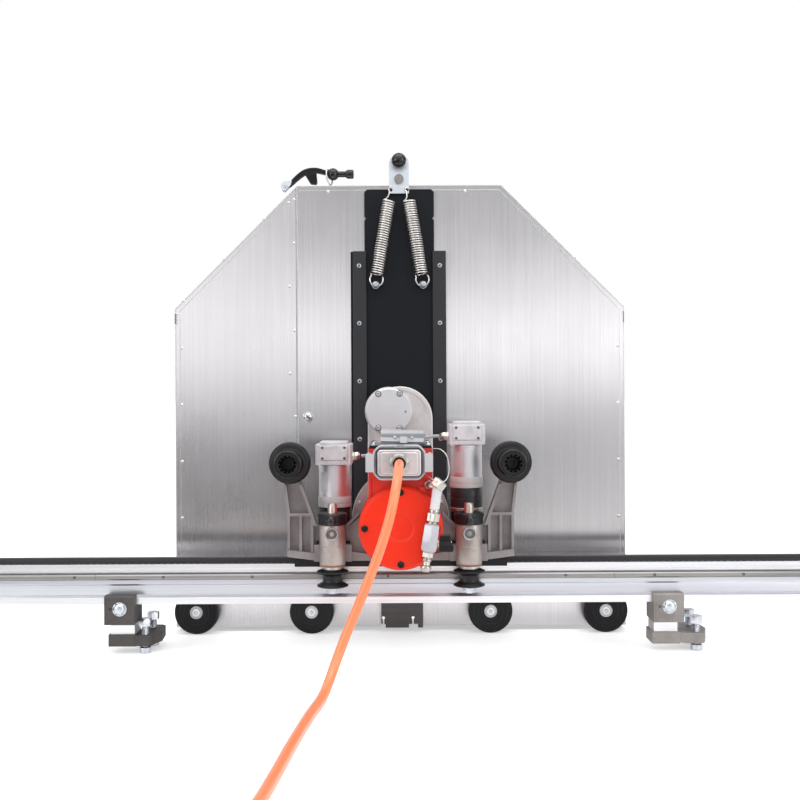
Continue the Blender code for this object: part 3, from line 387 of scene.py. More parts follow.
def build_materials():
    """Every material of the machine by name."""
    made = {
        "stainless": stainless_sheet("stainless_sheet", 0.24),
        "stainless_front": stainless_sheet("stainless_front_sheet", 0.19),
        "stainless_trim": brushed("stainless_trim", (0.76, 0.75, 0.74), 0.28, "X").material,
        "rail": brushed("rail_aluminium_drawn", (0.88, 0.88, 0.90), 0.28, "X", 0.09, 0.8).material,
        # A darker copy of the rail metal for the web: a painted reflection of the darker room in front.
        "rail_web_painted_reflection": brushed("rail_web_painted_reflection", (0.64, 0.65, 0.69), 0.30, "X", 0.06, 0.5).material,
        "bracket": brushed("bracket_zinc", (0.78, 0.83, 0.88), 0.36, "X", 0.03, 0.2).material,
        "pin_end": brushed("pin_end", (0.36, 0.35, 0.33), 0.36, "X", 0.15, 0.4).material,
        "track": brushed("track_ground", (0.36, 0.345, 0.34), 0.34, "X", 0.25, 0.8).material,
        "rack": brushed("rack_black", (0.13, 0.125, 0.13), 0.55, "X", 0.2, 0.4).material,
        "cast": cast("cast_raw", (0.265, 0.24, 0.24), 0.50, 0.55, 420.0, 0.4).material,
        "cast_arm": cast("cast_arm", (0.62, 0.59, 0.58), 0.42, 0.6, 700.0, 0.12, (0.5, 0.46, 0.43)).material,
        "cast_post": cast("cast_post", (0.42, 0.375, 0.35), 0.42, 0.65, 400.0, 0.2,
            (0.30, 0.19, 0.12)).material,
        # The two feet are one part in lit and shaded copies: the darker copy is painted shade, the lighter one
        # painted light.
        "phosphated": cast("phosphated", (0.075, 0.07, 0.066), 0.55, 0.4, 700.0, 0.15,
            (0.14, 0.11, 0.09)).material,
        "foot_lit": cast("foot_lit", (0.27, 0.25, 0.235), 0.5, 0.5, 700.0, 0.12,
            (0.22, 0.18, 0.15)).material,
        "turned": brushed("turned_face", (0.66, 0.65, 0.66), 0.36, "X", 0.06, 0.3).material,
        "plough": brushed("plough_steel", (0.11, 0.10, 0.10), 0.45, "X", 0.15, 0.6).material,
        "steel": brushed("bright_steel", (0.62, 0.61, 0.60), 0.25, "Z", 0.1, 0.4).material,
        "dark_steel": brushed("dark_steel", (0.20, 0.19, 0.185), 0.34, "X", 0.2, 0.3).material,
        "copper_pin": brushed("pin_steel", (0.58, 0.50, 0.45), 0.3, "Z", 0.15, 0.4).material,
        "spring": plated("spring_wire", (0.82, 0.79, 0.76), 0.22).material,
        "zinc": plated("zinc_plate", (0.70, 0.74, 0.79), 0.22).material,
        "nickel": plated("nickel_plate", (0.60, 0.56, 0.52), 0.2).material,
        "black_ox": cast("black_oxide", (0.022, 0.022, 0.024), 0.38, 0.6, 600.0, 0.1,
            (0.06, 0.04, 0.03)).material,
        "black_plate": painted("black_slider", (0.0060, 0.0075, 0.011), 0.42, (0.10, 0.10, 0.11)).dull(0.2),
        "bars": hatched_plate(),
        "rubber": moulded("black_rubber", (0.006, 0.0055, 0.007), 0.44, 900.0, 0.05).dull(0.3),
        "grip": moulded("grip_plastic", (0.008, 0.008, 0.009), 0.16, 500.0, 0.05).material,
        "red": painted("motor_red", (0.74, 0.022, 0.008), 0.36, (0.90, 0.16, 0.10)).material,
        "red_cap": painted("cap_red", (0.80, 0.024, 0.003), 0.42, (0.95, 0.22, 0.14)).dull(0.3),
        "can": brushed("can_anodised", (0.72, 0.72, 0.745), 0.44, "Z", 0.04, 0.2).material,
        "sleeve": moulded("sleeve_satin_black", (0.012, 0.012, 0.014), 0.40, 700.0, 0.1).material,
        "knob": moulded("knob_rubber", (0.005, 0.0045, 0.0055), 0.36, 900.0, 0.04).dull(0.3),
        "ring": moulded("ring_satin", (0.50, 0.48, 0.48), 0.5, 600.0, 0.15).material,
        "pale": cast("cap_pale", (0.60, 0.585, 0.61), 0.42, 0.2, 800.0, 0.08, (0.6, 0.58, 0.58)).material,
        "grey": moulded("connector_grey", (0.28, 0.29, 0.31), 0.42, 700.0, 0.3).material,
        "bright": brushed("bright_aluminium", (0.93, 0.93, 0.94), 0.4, "X", 0.03, 0.3).material,
        "cover": turned_face("cover_turned", (0.90, 0.89, 0.91), 0.3).material,
        "button": plated("button_black", (0.045, 0.045, 0.048), 0.3).material,
        "grey_light": moulded("grey_light", (0.46, 0.46, 0.48), 0.35, 700.0, 0.15).material,
        "tap_grey": cast("tap_satin", (0.44, 0.44, 0.47), 0.36, 0.55, 900.0, 0.04,
            (0.55, 0.55, 0.56)).material,
        "hood": cast("hood_blasted", (0.64, 0.60, 0.60), 0.40, 0.7, 900.0, 0.05, (0.58, 0.55, 0.55)).material,
        "lead": moulded("lead_grey", (0.34, 0.35, 0.38), 0.45, 600.0, 0.2).material,
        "hose": woven_hose(),
        "cable": cable_jacket(),
        "blade": brushed("blade_metal", (0.50, 0.50, 0.51), 0.32, "X", 0.12, 0.4).material,
        "plug_red": moulded("plug_red", (0.62, 0.03, 0.02), 0.4).material,
        "rust": cast("rust_ring", (0.27, 0.12, 0.06), 0.8, 0.1, 900.0, 0.3).material,
    }
    return made


MATERIALS = build_materials()


# ---------------------------------------------------------------- mesh helpers

def dress(piece, material, body="carriage", nodes=()):
    """Give a piece its material, its body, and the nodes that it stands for."""
    piece.data.materials.clear()
    piece.data.materials.append(MATERIALS[material])
    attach(piece, body)
    if nodes:
        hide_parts(*nodes)
    return piece


def mesh_object(name, verts, faces):
    """An object from millimetre vertices, its faces turned outwards and its round faces smooth."""
    shape = bmesh.new()
    spots = [shape.verts.new(Vector(v) * MM) for v in verts]
    for face in faces:
        shape.faces.new([spots[i] for i in face])
    bmesh.ops.recalc_face_normals(shape, faces=shape.faces)
    mesh = bpy.data.meshes.new(name)
    shape.to_mesh(mesh)
    shape.free()
    mesh.shade_smooth()
    mesh.set_sharp_from_angle(angle=radians(38))
    piece = bpy.data.objects.new(name, mesh)
    bpy.context.scene.collection.objects.link(piece)
    return piece


def bevelled(piece, width, segments=2, angle=30):
    """Round a piece's edges."""
    edge = piece.modifiers.new("edges", "BEVEL")
    edge.width = width * MM
    edge.segments = segments
    edge.limit_method = "ANGLE"
    edge.angle_limit = radians(angle)
    edge.harden_normals = True
    return piece


def prism(name, outline, axis, low, high):
    """Extrude a closed outline along an axis."""
    places = {"X": (1, 2, 0), "Y": (0, 2, 1), "Z": (0, 1, 2)}[axis]
    verts = []
    for level in (low, high):
        for a, b in outline:
            point = [0, 0, 0]
            point[places[0]], point[places[1]], point[places[2]] = a, b, level
            verts.append(point)
    count = len(outline)
    sides = [(i, (i + 1) % count, count + (i + 1) % count, count + i) for i in range(count)]
    return mesh_object(name, verts, sides + [tuple(range(count)), tuple(range(count, 2 * count))])


def block(name, low, high):
    """A block between two corners."""
    outline = [(low[0], low[1]), (high[0], low[1]), (high[0], high[1]), (low[0], high[1])]
    return prism(name, outline, "Z", low[2], high[2])


def arc(cx, cy, radius, start, end, steps):
    """Points along an arc in degrees, both ends included."""
    angles = [radians(start + (end - start) * i / steps) for i in range(steps + 1)]
    return [(cx + radius * cos(a), cy + radius * sin(a)) for a in angles]


def turned(name, profile, axis, centre, segments=72):
    """Turn a profile of (radius, height[, sides]); with sides given that ring is a polygon across flats."""
    verts, rings = [], []
    for spot in profile:
        radius, height = spot[0], spot[1]
        sides = spot[2] if len(spot) > 2 else 0
        ring = []
        for i in range(1 if radius == 0 else segments):
            angle = 2 * pi * i / segments
            reach = radius
            if sides:
                wedge = 2 * pi / sides
                reach = radius / cos((angle + wedge / 2) % wedge - wedge / 2)
            a, b = reach * cos(angle), reach * sin(angle)
            local = {"X": (height, a, b), "Y": (a, height, b), "Z": (a, b, height)}[axis]
            ring.append(len(verts))
            verts.append([local[k] + centre[k] for k in range(3)])
        rings.append(ring)
    if profile[0][0] != 0:
        rings.append(rings[0])
    faces = []
    for lower, upper in zip(rings, rings[1:]):
        for i in range(segments):
            j = (i + 1) % segments
            if len(lower) == 1:
                faces.append((lower[0], upper[i], upper[j]))
            elif len(upper) == 1:
                faces.append((lower[i], lower[j], upper[0]))
            else:
                faces.append((lower[i], lower[j], upper[j], upper[i]))
    return mesh_object(name, verts, faces)


def merged(name, parts):
    """Several meshes as one piece."""
    shape = bmesh.new()
    for part in parts:
        shape.from_mesh(part.data)
    mesh = bpy.data.meshes.new(name)
    shape.to_mesh(mesh)
    shape.free()
    for part in parts:
        bpy.data.objects.remove(part)
    mesh.set_sharp_from_angle(angle=radians(38))
    piece = bpy.data.objects.new(name, mesh)
    bpy.context.scene.collection.objects.link(piece)
    return piece


def turned_to(piece, origin, direction):
    """Move a piece built along +Z from the origin so that it points along direction from origin."""
    turn = Vector((0, 0, 1)).rotation_difference(Vector(direction)).to_matrix().to_4x4()
    piece.data.transform(Matrix.Translation(Vector(origin) * MM) @ turn)
    return piece


def tube(name, points, radius, resolution=6):
    """A round tube along points, in millimetres."""
    curve = bpy.data.curves.new(name, "CURVE")
    curve.dimensions = "3D"
    curve.bevel_depth = radius * MM
    curve.bevel_resolution = resolution
    curve.use_fill_caps = True
    line = curve.splines.new("POLY")
    line.points.add(len(points) - 1)
    for spot, point in zip(line.points, points):
        spot.co = (*(Vector(point) * MM), 1)
    line.use_smooth = True
    piece = bpy.data.objects.new(name, curve)
    bpy.context.scene.collection.objects.link(piece)
    return piece


def tube_mesh(name, points, radius, resolution=4):
    """The same tube as a mesh, for pieces that blend or merge."""
    made = tube(name + "_line", points, radius, resolution)
    bpy.context.view_layer.update()
    graph = bpy.context.evaluated_depsgraph_get()
    mesh = bpy.data.meshes.new_from_object(made.evaluated_get(graph))
    bpy.data.objects.remove(made)
    mesh.shade_smooth()
    piece = bpy.data.objects.new(name, mesh)
    bpy.context.scene.collection.objects.link(piece)
    return piece


def smooth_route(points, spacing):
    """Points at an even spacing along a Catmull-Rom curve through the route's own points."""
    ends = [Vector(points[0]) * 2 - Vector(points[1])] + [Vector(p) for p in points]
    ends.append(Vector(points[-1]) * 2 - Vector(points[-2]))
    fine = []
    for a, b, c, d in zip(ends, ends[1:], ends[2:], ends[3:]):
        for i in range(40):
            t = i / 40
            fine.append(0.5 * (2 * b + (c - a) * t + (2 * a - 5 * b + 4 * c - d) * t * t
                + (3 * b - a - 3 * c + d) * t * t * t))
    fine.append(Vector(points[-1]))
    length = sum((q - p).length for p, q in zip(fine, fine[1:]))
    count = round(length / spacing)
    kept, walked = [fine[0]], 0
    for p, q in zip(fine, fine[1:]):
        walked += (q - p).length
        if walked >= length / count * len(kept) and len(kept) < count:
            kept.append(q)
    kept.append(fine[-1])
    return kept


def soften(node, material, width=1.2, segments=2, body=None):
    """A copy of a CAD node with its flats made whole and its edges rounded, standing for the node."""
    source = NODES[node]
    shape = bmesh.new()
    shape.from_mesh(source.data)
    bmesh.ops.remove_doubles(shape, verts=shape.verts, dist=0.00001)
    bmesh.ops.dissolve_limit(shape, angle_limit=radians(0.5), verts=shape.verts, edges=shape.edges)
    mesh = bpy.data.meshes.new(node + "_fine")
    shape.to_mesh(mesh)
    shape.free()
    mesh.shade_smooth()
    mesh.set_sharp_from_angle(angle=radians(30))
    piece = bpy.data.objects.new(node + "_fine", mesh)
    bpy.context.scene.collection.objects.link(piece)
    if width:
        bevelled(piece, width, segments, 30)
    return dress(piece, material, body or body_of(source)[0], (node,))


def two_tone(piece, material, chosen):
    """Give the faces whose middle passes a test, in millimetres, a second material."""
    mesh = piece.data
    mesh.materials.append(MATERIALS[material])
    index = len(mesh.materials) - 1
    for face in mesh.polygons:
        if chosen(face.center / MM):
            face.material_index = index
    return piece


# ---------------------------------------------------------------- camera, light and floor

def build_camera():
    """A level camera at half the guard's height, with a hair of roll."""
    data = bpy.data.cameras.new("camera")
    data.lens = 48.3
    data.sensor_width = 36.0
    data.shift_y = -0.0125
    data.clip_end = 100.0
    camera = bpy.data.objects.new("camera", data)
    level = Matrix.Rotation(radians(90.0), 4, "X") @ Matrix.Rotation(radians(-0.3), 4, "Z")
    camera.matrix_world = Matrix.Translation((0.0, -2.162, 0.509)) @ level
    bpy.context.scene.collection.objects.link(camera)
    bpy.context.scene.camera = camera


def soft_box(name, place, aim, width, height, power, tint=(1.0, 1.0, 1.0)):
    """A large soft light at a place in metres, aimed at a point."""
    data = bpy.data.lights.new(name, "AREA")
    data.shape = "RECTANGLE"
    data.size = width
    data.size_y = height
    data.energy = power
    data.color = tint
    lamp = bpy.data.objects.new(name, data)
    lamp.location = place
    lamp.rotation_euler = (Vector(aim) - Vector(place)).to_track_quat("-Z", "Y").to_euler()
    bpy.context.scene.collection.objects.link(lamp)


ROOM_LIGHT = 2.15


def build_world():
    """A white room to the camera; metals see level bands and a darker gap left of the middle."""
    world = bpy.data.worlds.new("studio")
    world.use_nodes = True
    nodes, links = world.node_tree.nodes, world.node_tree.links
    place = nodes.new("ShaderNodeTexCoord")
    split = nodes.new("ShaderNodeSeparateXYZ")
    links.new(place.outputs["Generated"], split.inputs[0])
    bands = [(0.0, 0.30), (0.480, 0.20), (0.500, 0.30), (0.508, 0.90), (0.524, 1.0), (0.538, 0.66),
        (0.565, 0.27), (0.65, 0.24), (0.80, 0.42), (1.0, 0.62)]
    across = [(0.0, 0.90), (0.35, 0.95), (0.43, 0.95), (0.458, 0.44), (0.488, 0.40), (0.53, 0.92),
        (0.66, 0.98), (1.0, 0.90)]
    greys = []
    for axis, stops in (("Z", bands), ("X", across)):
        lift = nodes.new("ShaderNodeMapRange")
        lift.inputs["From Min"].default_value = -1.0
        links.new(split.outputs[axis], lift.inputs["Value"])
        ramp = nodes.new("ShaderNodeValToRGB")
        while len(ramp.color_ramp.elements) < len(stops):
            ramp.color_ramp.elements.new(0.5)
        for element, (spot, grey) in zip(ramp.color_ramp.elements, stops):
            element.position = spot
            element.color = (grey, grey, grey * 1.01, 1.0)
        links.new(lift.outputs["Result"], ramp.inputs["Fac"])
        greys.append(ramp.outputs["Color"])
    room = nodes.new("ShaderNodeMix")
    room.data_type = "RGBA"
    room.blend_type = "MULTIPLY"
    room.inputs[0].default_value = 1.0
    links.new(greys[0], room.inputs[6])
    links.new(greys[1], room.inputs[7])
    seen = nodes.new("ShaderNodeLightPath")
    mix = nodes.new("ShaderNodeMix")
    mix.data_type = "RGBA"
    mix.inputs[7].default_value = (1.0 / ROOM_LIGHT, 1.0 / ROOM_LIGHT, 1.0 / ROOM_LIGHT, 1.0)
    nodes["Background"].inputs["Strength"].default_value = ROOM_LIGHT
    links.new(seen.outputs["Is Camera Ray"], mix.inputs[0])
    links.new(room.outputs[2], mix.inputs[6])
    links.new(mix.outputs[2], nodes["Background"].inputs["Color"])
    bpy.context.scene.world = world


def build_floor():
    """A wide white floor; what reflects in the metals is its grey unlit front."""
    mesh = bpy.data.meshes.new("floor")
    reach = 40.0
    mesh.from_pydata([(-reach, -reach, 0.0), (reach, -reach, 0.0), (reach, reach, 0.0),
        (-reach, reach, 0.0)], [], [(0, 1, 2, 3)])
    floor = bpy.data.objects.new("floor", mesh)
    bpy.context.scene.collection.objects.link(floor)
    shade = Shade("floor_white", (0.93, 0.93, 0.93), 0.5)
    seen = shade.nodes.new("ShaderNodeLightPath").outputs["Is Camera Ray"]
    reach = shade.nodes.new("ShaderNodeVectorMath")
    reach.operation = "LENGTH"
    shade.links.new(shade.place, reach.inputs[0])
    sweep = shade.ramp(shade.math("DIVIDE", reach.outputs["Value"], 4.0),
        [(0.28, 0.70), (0.38, 0.02), (0.62, 0.02), (1.0, 0.06)], True)
    where = shade.nodes.new("ShaderNodeSeparateXYZ")
    shade.links.new(shade.place, where.inputs[0])
    bearing = shade.math("DIVIDE", where.outputs["X"], shade.math("SUBTRACT", 0.2, where.outputs["Y"]))
    open_side = shade.ramp(shade.math("ADD", bearing, 0.5), [(0.56, 0.0), (0.66, 0.52)])
    sweep = shade.mix(open_side, sweep, (0.75, 0.75, 0.75))
    shade.set("Base Color", shade.mix(seen, sweep, (0.93, 0.93, 0.93)))
    shade.set("Emission Color", shade.mix(seen, sweep, (1.0, 1.0, 1.0)))
    shade.set("Emission Strength", 0.42)
    mesh.materials.append(shade.material)


def build_lights():
    """Two tall side boxes, a wide box overhead and a low fill from the front."""
    soft_box("left_box", (-3.2, -2.6, 1.7), (0.0, 0.0, 0.5), 1.6, 2.6, 42.0)
    soft_box("right_box", (3.2, -2.6, 1.7), (0.0, 0.0, 0.5), 1.6, 2.6, 42.0)
    soft_box("over_box", (0.0, -0.9, 3.4), (0.0, 0.0, 0.3), 3.6, 2.2, 50.0)
    soft_box("front_fill", (0.0, -5.0, 3.6), (0.0, 0.0, 0.4), 4.0, 1.0, 26.0)


bpy.context.scene.view_settings.view_transform = "Standard"
build_camera()
build_world()
build_floor()
build_lights()


# ---------------------------------------------------------------- cords

def cable_points():
    """The whole cable's centreline: the drop, the run over the floor, two layers of coil and the tail."""
    cx, cy = COIL_CENTRE
    points = smooth_route(ROUTE, 8)
    end = points[-1]
    first = atan2(end.y - cy, end.x - cx)
    overshoot = Vector((end.x - cx, end.y - cy)).length - COIL_LAST_RADIUS
    inner = COIL_LAST_RADIUS - 3 * COIL_PITCH
    steps = 40
    for i in range(1, 3 * steps + 1):
        turn = i / steps
        radius = COIL_LAST_RADIUS - COIL_PITCH * turn + overshoot * exp(-1.6 * 2 * pi * turn)
        angle = first + 2 * pi * turn
        points.append(Vector((cx + radius * cos(angle), cy + radius * sin(angle), COIL_LAYERS[0])))
    upper = 2 + (1.5 * pi - first) / (2 * pi)
    count = round(upper * steps)
    for i in range(1, count + 1):
        turn = upper * i / count
        radius = inner + 3 * COIL_PITCH * i / count
        angle = first + 2 * pi * turn
        climb = min(1, turn * 6.5)
        height = COIL_LAYERS[0] + (COIL_LAYERS[1] - COIL_LAYERS[0]) * climb * climb * (3 - 2 * climb)
        points.append(Vector((cx + radius * cos(angle), cy + radius * sin(angle), height)))
    side = cy - COIL_LAST_RADIUS
    for x, z in ((16, 27), (34, 28.4), (56, 29.8), (74, 30.3), (96, 30.3)):
        points.append(Vector((cx + x, side, z)))
    return points


def build_cable():
    """The orange power cable with its strain reliefs and the plug at its far end."""
    points = cable_points()
    cable = dress(tube("power_cable_run", points, CABLE_RADIUS), "cable", nodes=("power_cable", "cable_coil"))
    cx, side = COIL_CENTRE[0], COIL_CENTRE[1] - COIL_LAST_RADIUS
    place = (cx, side, 30.3)
    relief = [(9, 70), (11.5, 71)]
    for i in range(6):
        relief += [(11, 73 + 4 * i), (13 + 0.4 * i, 74 + 4 * i), (13 + 0.4 * i, 76 + 4 * i)]
    relief += [(14.5, 98), (9, 98)]
    boot = dress(turned("plug_relief", relief, "X", place), "rubber")
    body = [(9, 96), (16, 96), (19, 99), (24, 110), (25, 112), (25, 148), (26.5, 149), (26.5, 151),
        (23, 152), (9, 152)]
    shell = dress(turned("plug_body", body, "X", place), "rubber")
    ring = knurled("plug_ring", 29.5, 0.7, 36, "X", place, 152.5, 167)
    dress(ring, "plug_red")
    lip = [(0, 178), (24, 178), (24, 166), (27, 166), (27, 195), (26, 196), (23, 196), (22, 194), (22, 180),
        (0, 180)]
    front = dress(turned("plug_front", lip, "X", place), "rubber", nodes=("cable_connector",))
    pins = []
    for i in range(5):
        angle = radians(72 * i + 18)
        spot = (cx, side + 12 * cos(angle), 30.3 + 12 * sin(angle))
        pins.append(turned("pin", [(0, 178), (3, 178), (3, 191), (2, 192.5), (0, 192.5)], "X", spot, 20))
    pins = dress(merged("plug_pins", pins), "nickel")


def build_leads():
    """Grey leads from the two gearmotors to the cable box, and the thin lanyard of the water nut."""
    left = [(-77, -54, 380), (-69, -53.6, 380), (-57, -50.4, 380), (-45, -46, 380.4), (-30, -40.3, 381),
        (-10.9, -33, 382), (0, -31, 383), (12, -33.3, 384), (22.6, -40.4, 384.6), (29.7, -51, 385),
        (32, -63, 385)]
    right = [(77, -54, 418), (69, -54, 418), (58.7, -55.8, 417.2), (49.7, -61, 416), (43, -69, 415),
        (40, -76.2, 414.4), (37.4, -85.9, 413.8), (36.2, -92, 413.8)]
    for name, route in (("lead_left", left), ("lead_right", right)):
        points = smooth_route(route, 3)
        lead = dress(tube(name, points, 3.4), "lead")
    route = [(56, -168.5, 398), (62, -174, 400), (74, -182, 399), (85, -192, 388), (89, -200, 366),
        (86, -206, 350), (79, -212, 342), (70, -216, 341.5), (62, -214, 344), (55, -207, 348),
        (49, -199, 352), (45, -191.5, 355)]
    points = smooth_route(route, 3)
    wire = dress(tube("lanyard", points, 0.9, 4), "steel", "carriage")


def knurled(name, radius, depth, teeth, axis, centre, low, high):
    """A ring with flutes along its axis."""
    outline = []
    for i in range(teeth * 4):
        deep = depth if i % 4 in (0, 1) else 0
        angle = 2 * pi * (i + 0.25 * (i % 2)) / (teeth * 4)
        outline.append(((radius - deep) * cos(angle), (radius - deep) * sin(angle)))
    first, second = {"X": (1, 2), "Y": (0, 2), "Z": (0, 1)}[axis]
    ends = {"X": 0, "Y": 1, "Z": 2}[axis]
    shift = [(a + centre[first], b + centre[second]) for a, b in outline]
    return prism(name, shift, axis, low + centre[ends], high + centre[ends])


build_cable()
build_leads()


# ---------------------------------------------------------------- fasteners

def cap_screw(width, height, socket):
    """A socket head screw standing on z = 0."""
    half, key = width / 2, socket / 2
    return turned("screw", [(0, -1), (half, -1), (half, height - 0.7), (half - 0.7, height),
        (key + 0.5, height), (key, height - 0.5, 6), (key, height * 0.35, 6), (0, height * 0.3)], "Z",
        ORIGIN, 36)


def flat_screw(width):
    """A countersunk screw flush with its sheet, with a socket."""
    half = width / 2
    return turned("screw", [(0, -0.5), (half, -0.5), (half, 0.25), (half * 0.9, 0.4), (half * 0.46, 0.35),
        (half * 0.42, 0.2, 6), (half * 0.4, -0.3, 6), (0, -0.35)], "Z", ORIGIN, 36)


def rivet(width):
    """A blind rivet: a low dome with its mandrel's dimple."""
    half = width / 2
    return turned("rivet", [(0, -0.3), (half, -0.3), (half, 0.3), (half * 0.8, 0.9), (half * 0.5, 1.3),
        (half * 0.32, 1.4), (half * 0.28, 0.8), (0, 0.9)], "Z", ORIGIN, 28)


def hex_head(flats, height, washer=0):
    """A hexagon head or nut with a chamfered top, on its washer if it has one."""
    key = flats / 2
    lift = 2 if washer else 0
    head = [(0, lift - 0.5), (key, lift - 0.5, 6), (key, lift + height - 1.4, 6),
        (key - 0.2, lift + height - 0.4), (key - 1.5, lift + height), (key * 0.6, lift + height),
        (0, lift + height - 0.3)]
    made = turned("head", head, "Z", ORIGIN, 48)
    if not washer:
        return made
    disc = turned("washer", [(0, -0.4), (washer / 2, -0.4), (washer / 2, 1.5), (washer / 2 - 0.5, 2),
        (0, 2)], "Z", ORIGIN, 48)
    return merged("head_on_washer", [made, disc])


def dome_nut(flats, height):
    """A domed cap nut."""
    key = flats / 2
    profile = [(0, -0.5), (key + 2, -0.5), (key + 2, 1.2), (key, 1.3, 6), (key, height * 0.35, 6),
        (key * 0.96, height * 0.4)]
    profile += [(key * 0.94 * cos(radians(a)), height * (0.4 + 0.6 * sin(radians(a))))
        for a in range(10, 90, 12)]
    profile.append((0, height))
    return turned("dome", profile, "Z", ORIGIN, 48)


def placed(name, make, spots, direction, material, body="carriage", nodes=()):
    """Several equal fasteners as one piece, each standing at a spot and pointing along a direction."""
    made = [turned_to(make(), spot, direction) for spot in spots]
    return dress(merged(name, made), material, body, nodes)


def threaded(name, radius, pitch, low, high, centre, axis="Z", depth=0.8):
    """A rod with a helical thread."""
    around, per_pitch = 24, 6
    count = round((high - low) / pitch * per_pitch)
    verts, faces = [], []
    for j in range(count + 1):
        level = low + (high - low) * j / count
        for i in range(around):
            phase = (level / pitch - i / around) % 1
            reach = radius - depth * abs(2 * phase - 1)
            angle = 2 * pi * i / around
            local = {"X": (level, reach * cos(angle), reach * sin(angle)),
                "Y": (reach * cos(angle), level, reach * sin(angle)),
                "Z": (reach * cos(angle), reach * sin(angle), level)}[axis]
            verts.append([local[k] + centre[k] for k in range(3)])
    for j in range(count):
        for i in range(around):
            k = (i + 1) % around
            faces.append((j * around + i, j * around + k, (j + 1) * around + k, (j + 1) * around + i))
    faces.append(tuple(range(around)))
    faces.append(tuple(range(count * around, (count + 1) * around)))
    return mesh_object(name, verts, faces)


FRONT = (0, -1, 0)
UP = (0, 0, 1)


# ---------------------------------------------------------------- rail and feet

RAIL_TOP = 174
TRACK_FACE = -97.6


def build_rail():
    """Extrusion with its dark top, steel tracks with their screws and joints, and the rack."""
    rail = soften("rail_extrusion", "rail", 0.7)
    two_tone(rail, "rack", lambda c: c.z > RAIL_TOP - 0.3 or (c.z > 159 and -80 < c.y < -1.5))
    # The web's front faces get the darker copy: a painted reflection of the darker room in front of the rail.
    two_tone(rail, "rail_web_painted_reflection", lambda c: 114.5 < c.z < 145 and c.y < -80)
    soften("rail_rack", "rack", 0.25, 1)
    soften("rail_track_front", "track", 0.35, 1)
    soften("rail_track_rear", "track", 0.35, 1)
    spots = [(-970 + 171 * i, TRACK_FACE, 151.3) for i in range(6)]
    spots += [(-25 + 171 * i, TRACK_FACE, 151.3) for i in range(6)]
    placed("track_screws", lambda: flat_screw(5.2), spots, FRONT, "black_ox", "root")
    joints = [block("seam", (x - 0.25, TRACK_FACE - 0.15, 146.3), (x + 0.25, TRACK_FACE + 1, 155.7))
        for x in (-588, -36, 411)]
    dress(merged("track_joints", joints), "black_ox", "root")
    strip = block("slab_line", (-1000, -86.6, 163.2), (1000, -85.8, 164.4))
    dress(bevelled(strip, 0.2, 1), "rail", "root")


def build_foot(side, x, bolt_x, metal):
    """A foot's bar, jaws, clamp nut and pin, and its levelling bolts."""
    base = soften("foot_base_" + side, metal, 1.2)
    # The base's top faces take bright aluminium: a painted highlight where the overhead light falls.
    two_tone(base, "bright", lambda c: c.z > 38.2)
    soften("foot_jaw_" + side, metal, 1.4)
    placed("clamp_nut_" + side, lambda: dome_nut(23, 9), [(x + 1, -107, 92)], FRONT, "zinc", "root")
    pin = turned("pin", [(0, -0.5), (2.6, -0.5), (2.6, 0.3), (1.5, 0.3), (1.2, -0.3), (0, -0.3)], "Z",
        ORIGIN, 20)
    dress(turned_to(pin, (x - 17.5, -107, 92), FRONT), "black_ox", "root")
    for end, a, b in (("front", bolt_x + 3.5, -71), ("rear", bolt_x + 5, -9)):
        body = "bolt_%s_%s" % (end, side)
        node = "level_bolt_%s_%s" % (end, side)
        centre = (a, b, 0)
        shank = threaded("level_thread_%s_%s" % (end, side), 7, 2, 12.5, 53.5, centre)
        dress(shank, "zinc", body, nodes=(node,))
        head = hex_head(21.4, 14.5)
        dress(turned_to(head, (a, b, 53.4), UP), "zinc", body).name = "level_head_%s_%s" % (end, side)
        pad = turned("level_pad_%s_%s" % (end, side), [(0, 0), (10, 0), (11, 1), (11, 11), (10, 12.2),
            (7.4, 13.4), (0, 13.4)], "Z", centre, 48)
        dress(pad, "zinc", body)


# ---------------------------------------------------------------- carriage

POST_X = 130
POST_Y = -117
KNOB_X = 212
KNOB_Z = 370
GEAR_Y = -42


def build_roller(name, body):
    """A V-roller with ground flanks, bearing rings and seal."""
    c = middle(name)
    profile = [(14, -16), (25.5, -16), (26.5, -15.5), (29.4, -14.6), (30, -14), (30, -12.6), (29.6, -12.1),
        (19.3, -6.3), (19, -5.8), (19, 5.8), (19.3, 6.3), (29.6, 12.1), (30, 12.6), (30, 14), (29.4, 14.6),
        (26.5, 15.5), (25.5, 16), (14, 16)]
    dress(turned(name + "_fine", profile, "Z", c, 96), "black_ox", body, nodes=(name,))
    for tag, level in (("low", -1), ("high", 1)):
        seal = [(8.4, 15 * level), (8.4, 15.9 * level), (10.2, 15.9 * level), (10.6, 15.4 * level),
            (13.4, 15.4 * level), (13.7, 15.9 * level), (14.5, 15.9 * level), (14.5, 15 * level)]
        if level < 0:
            seal.reverse()
        dress(turned("%s_seal_%s" % (name, tag), seal, "Z", c, 64), "turned", body)


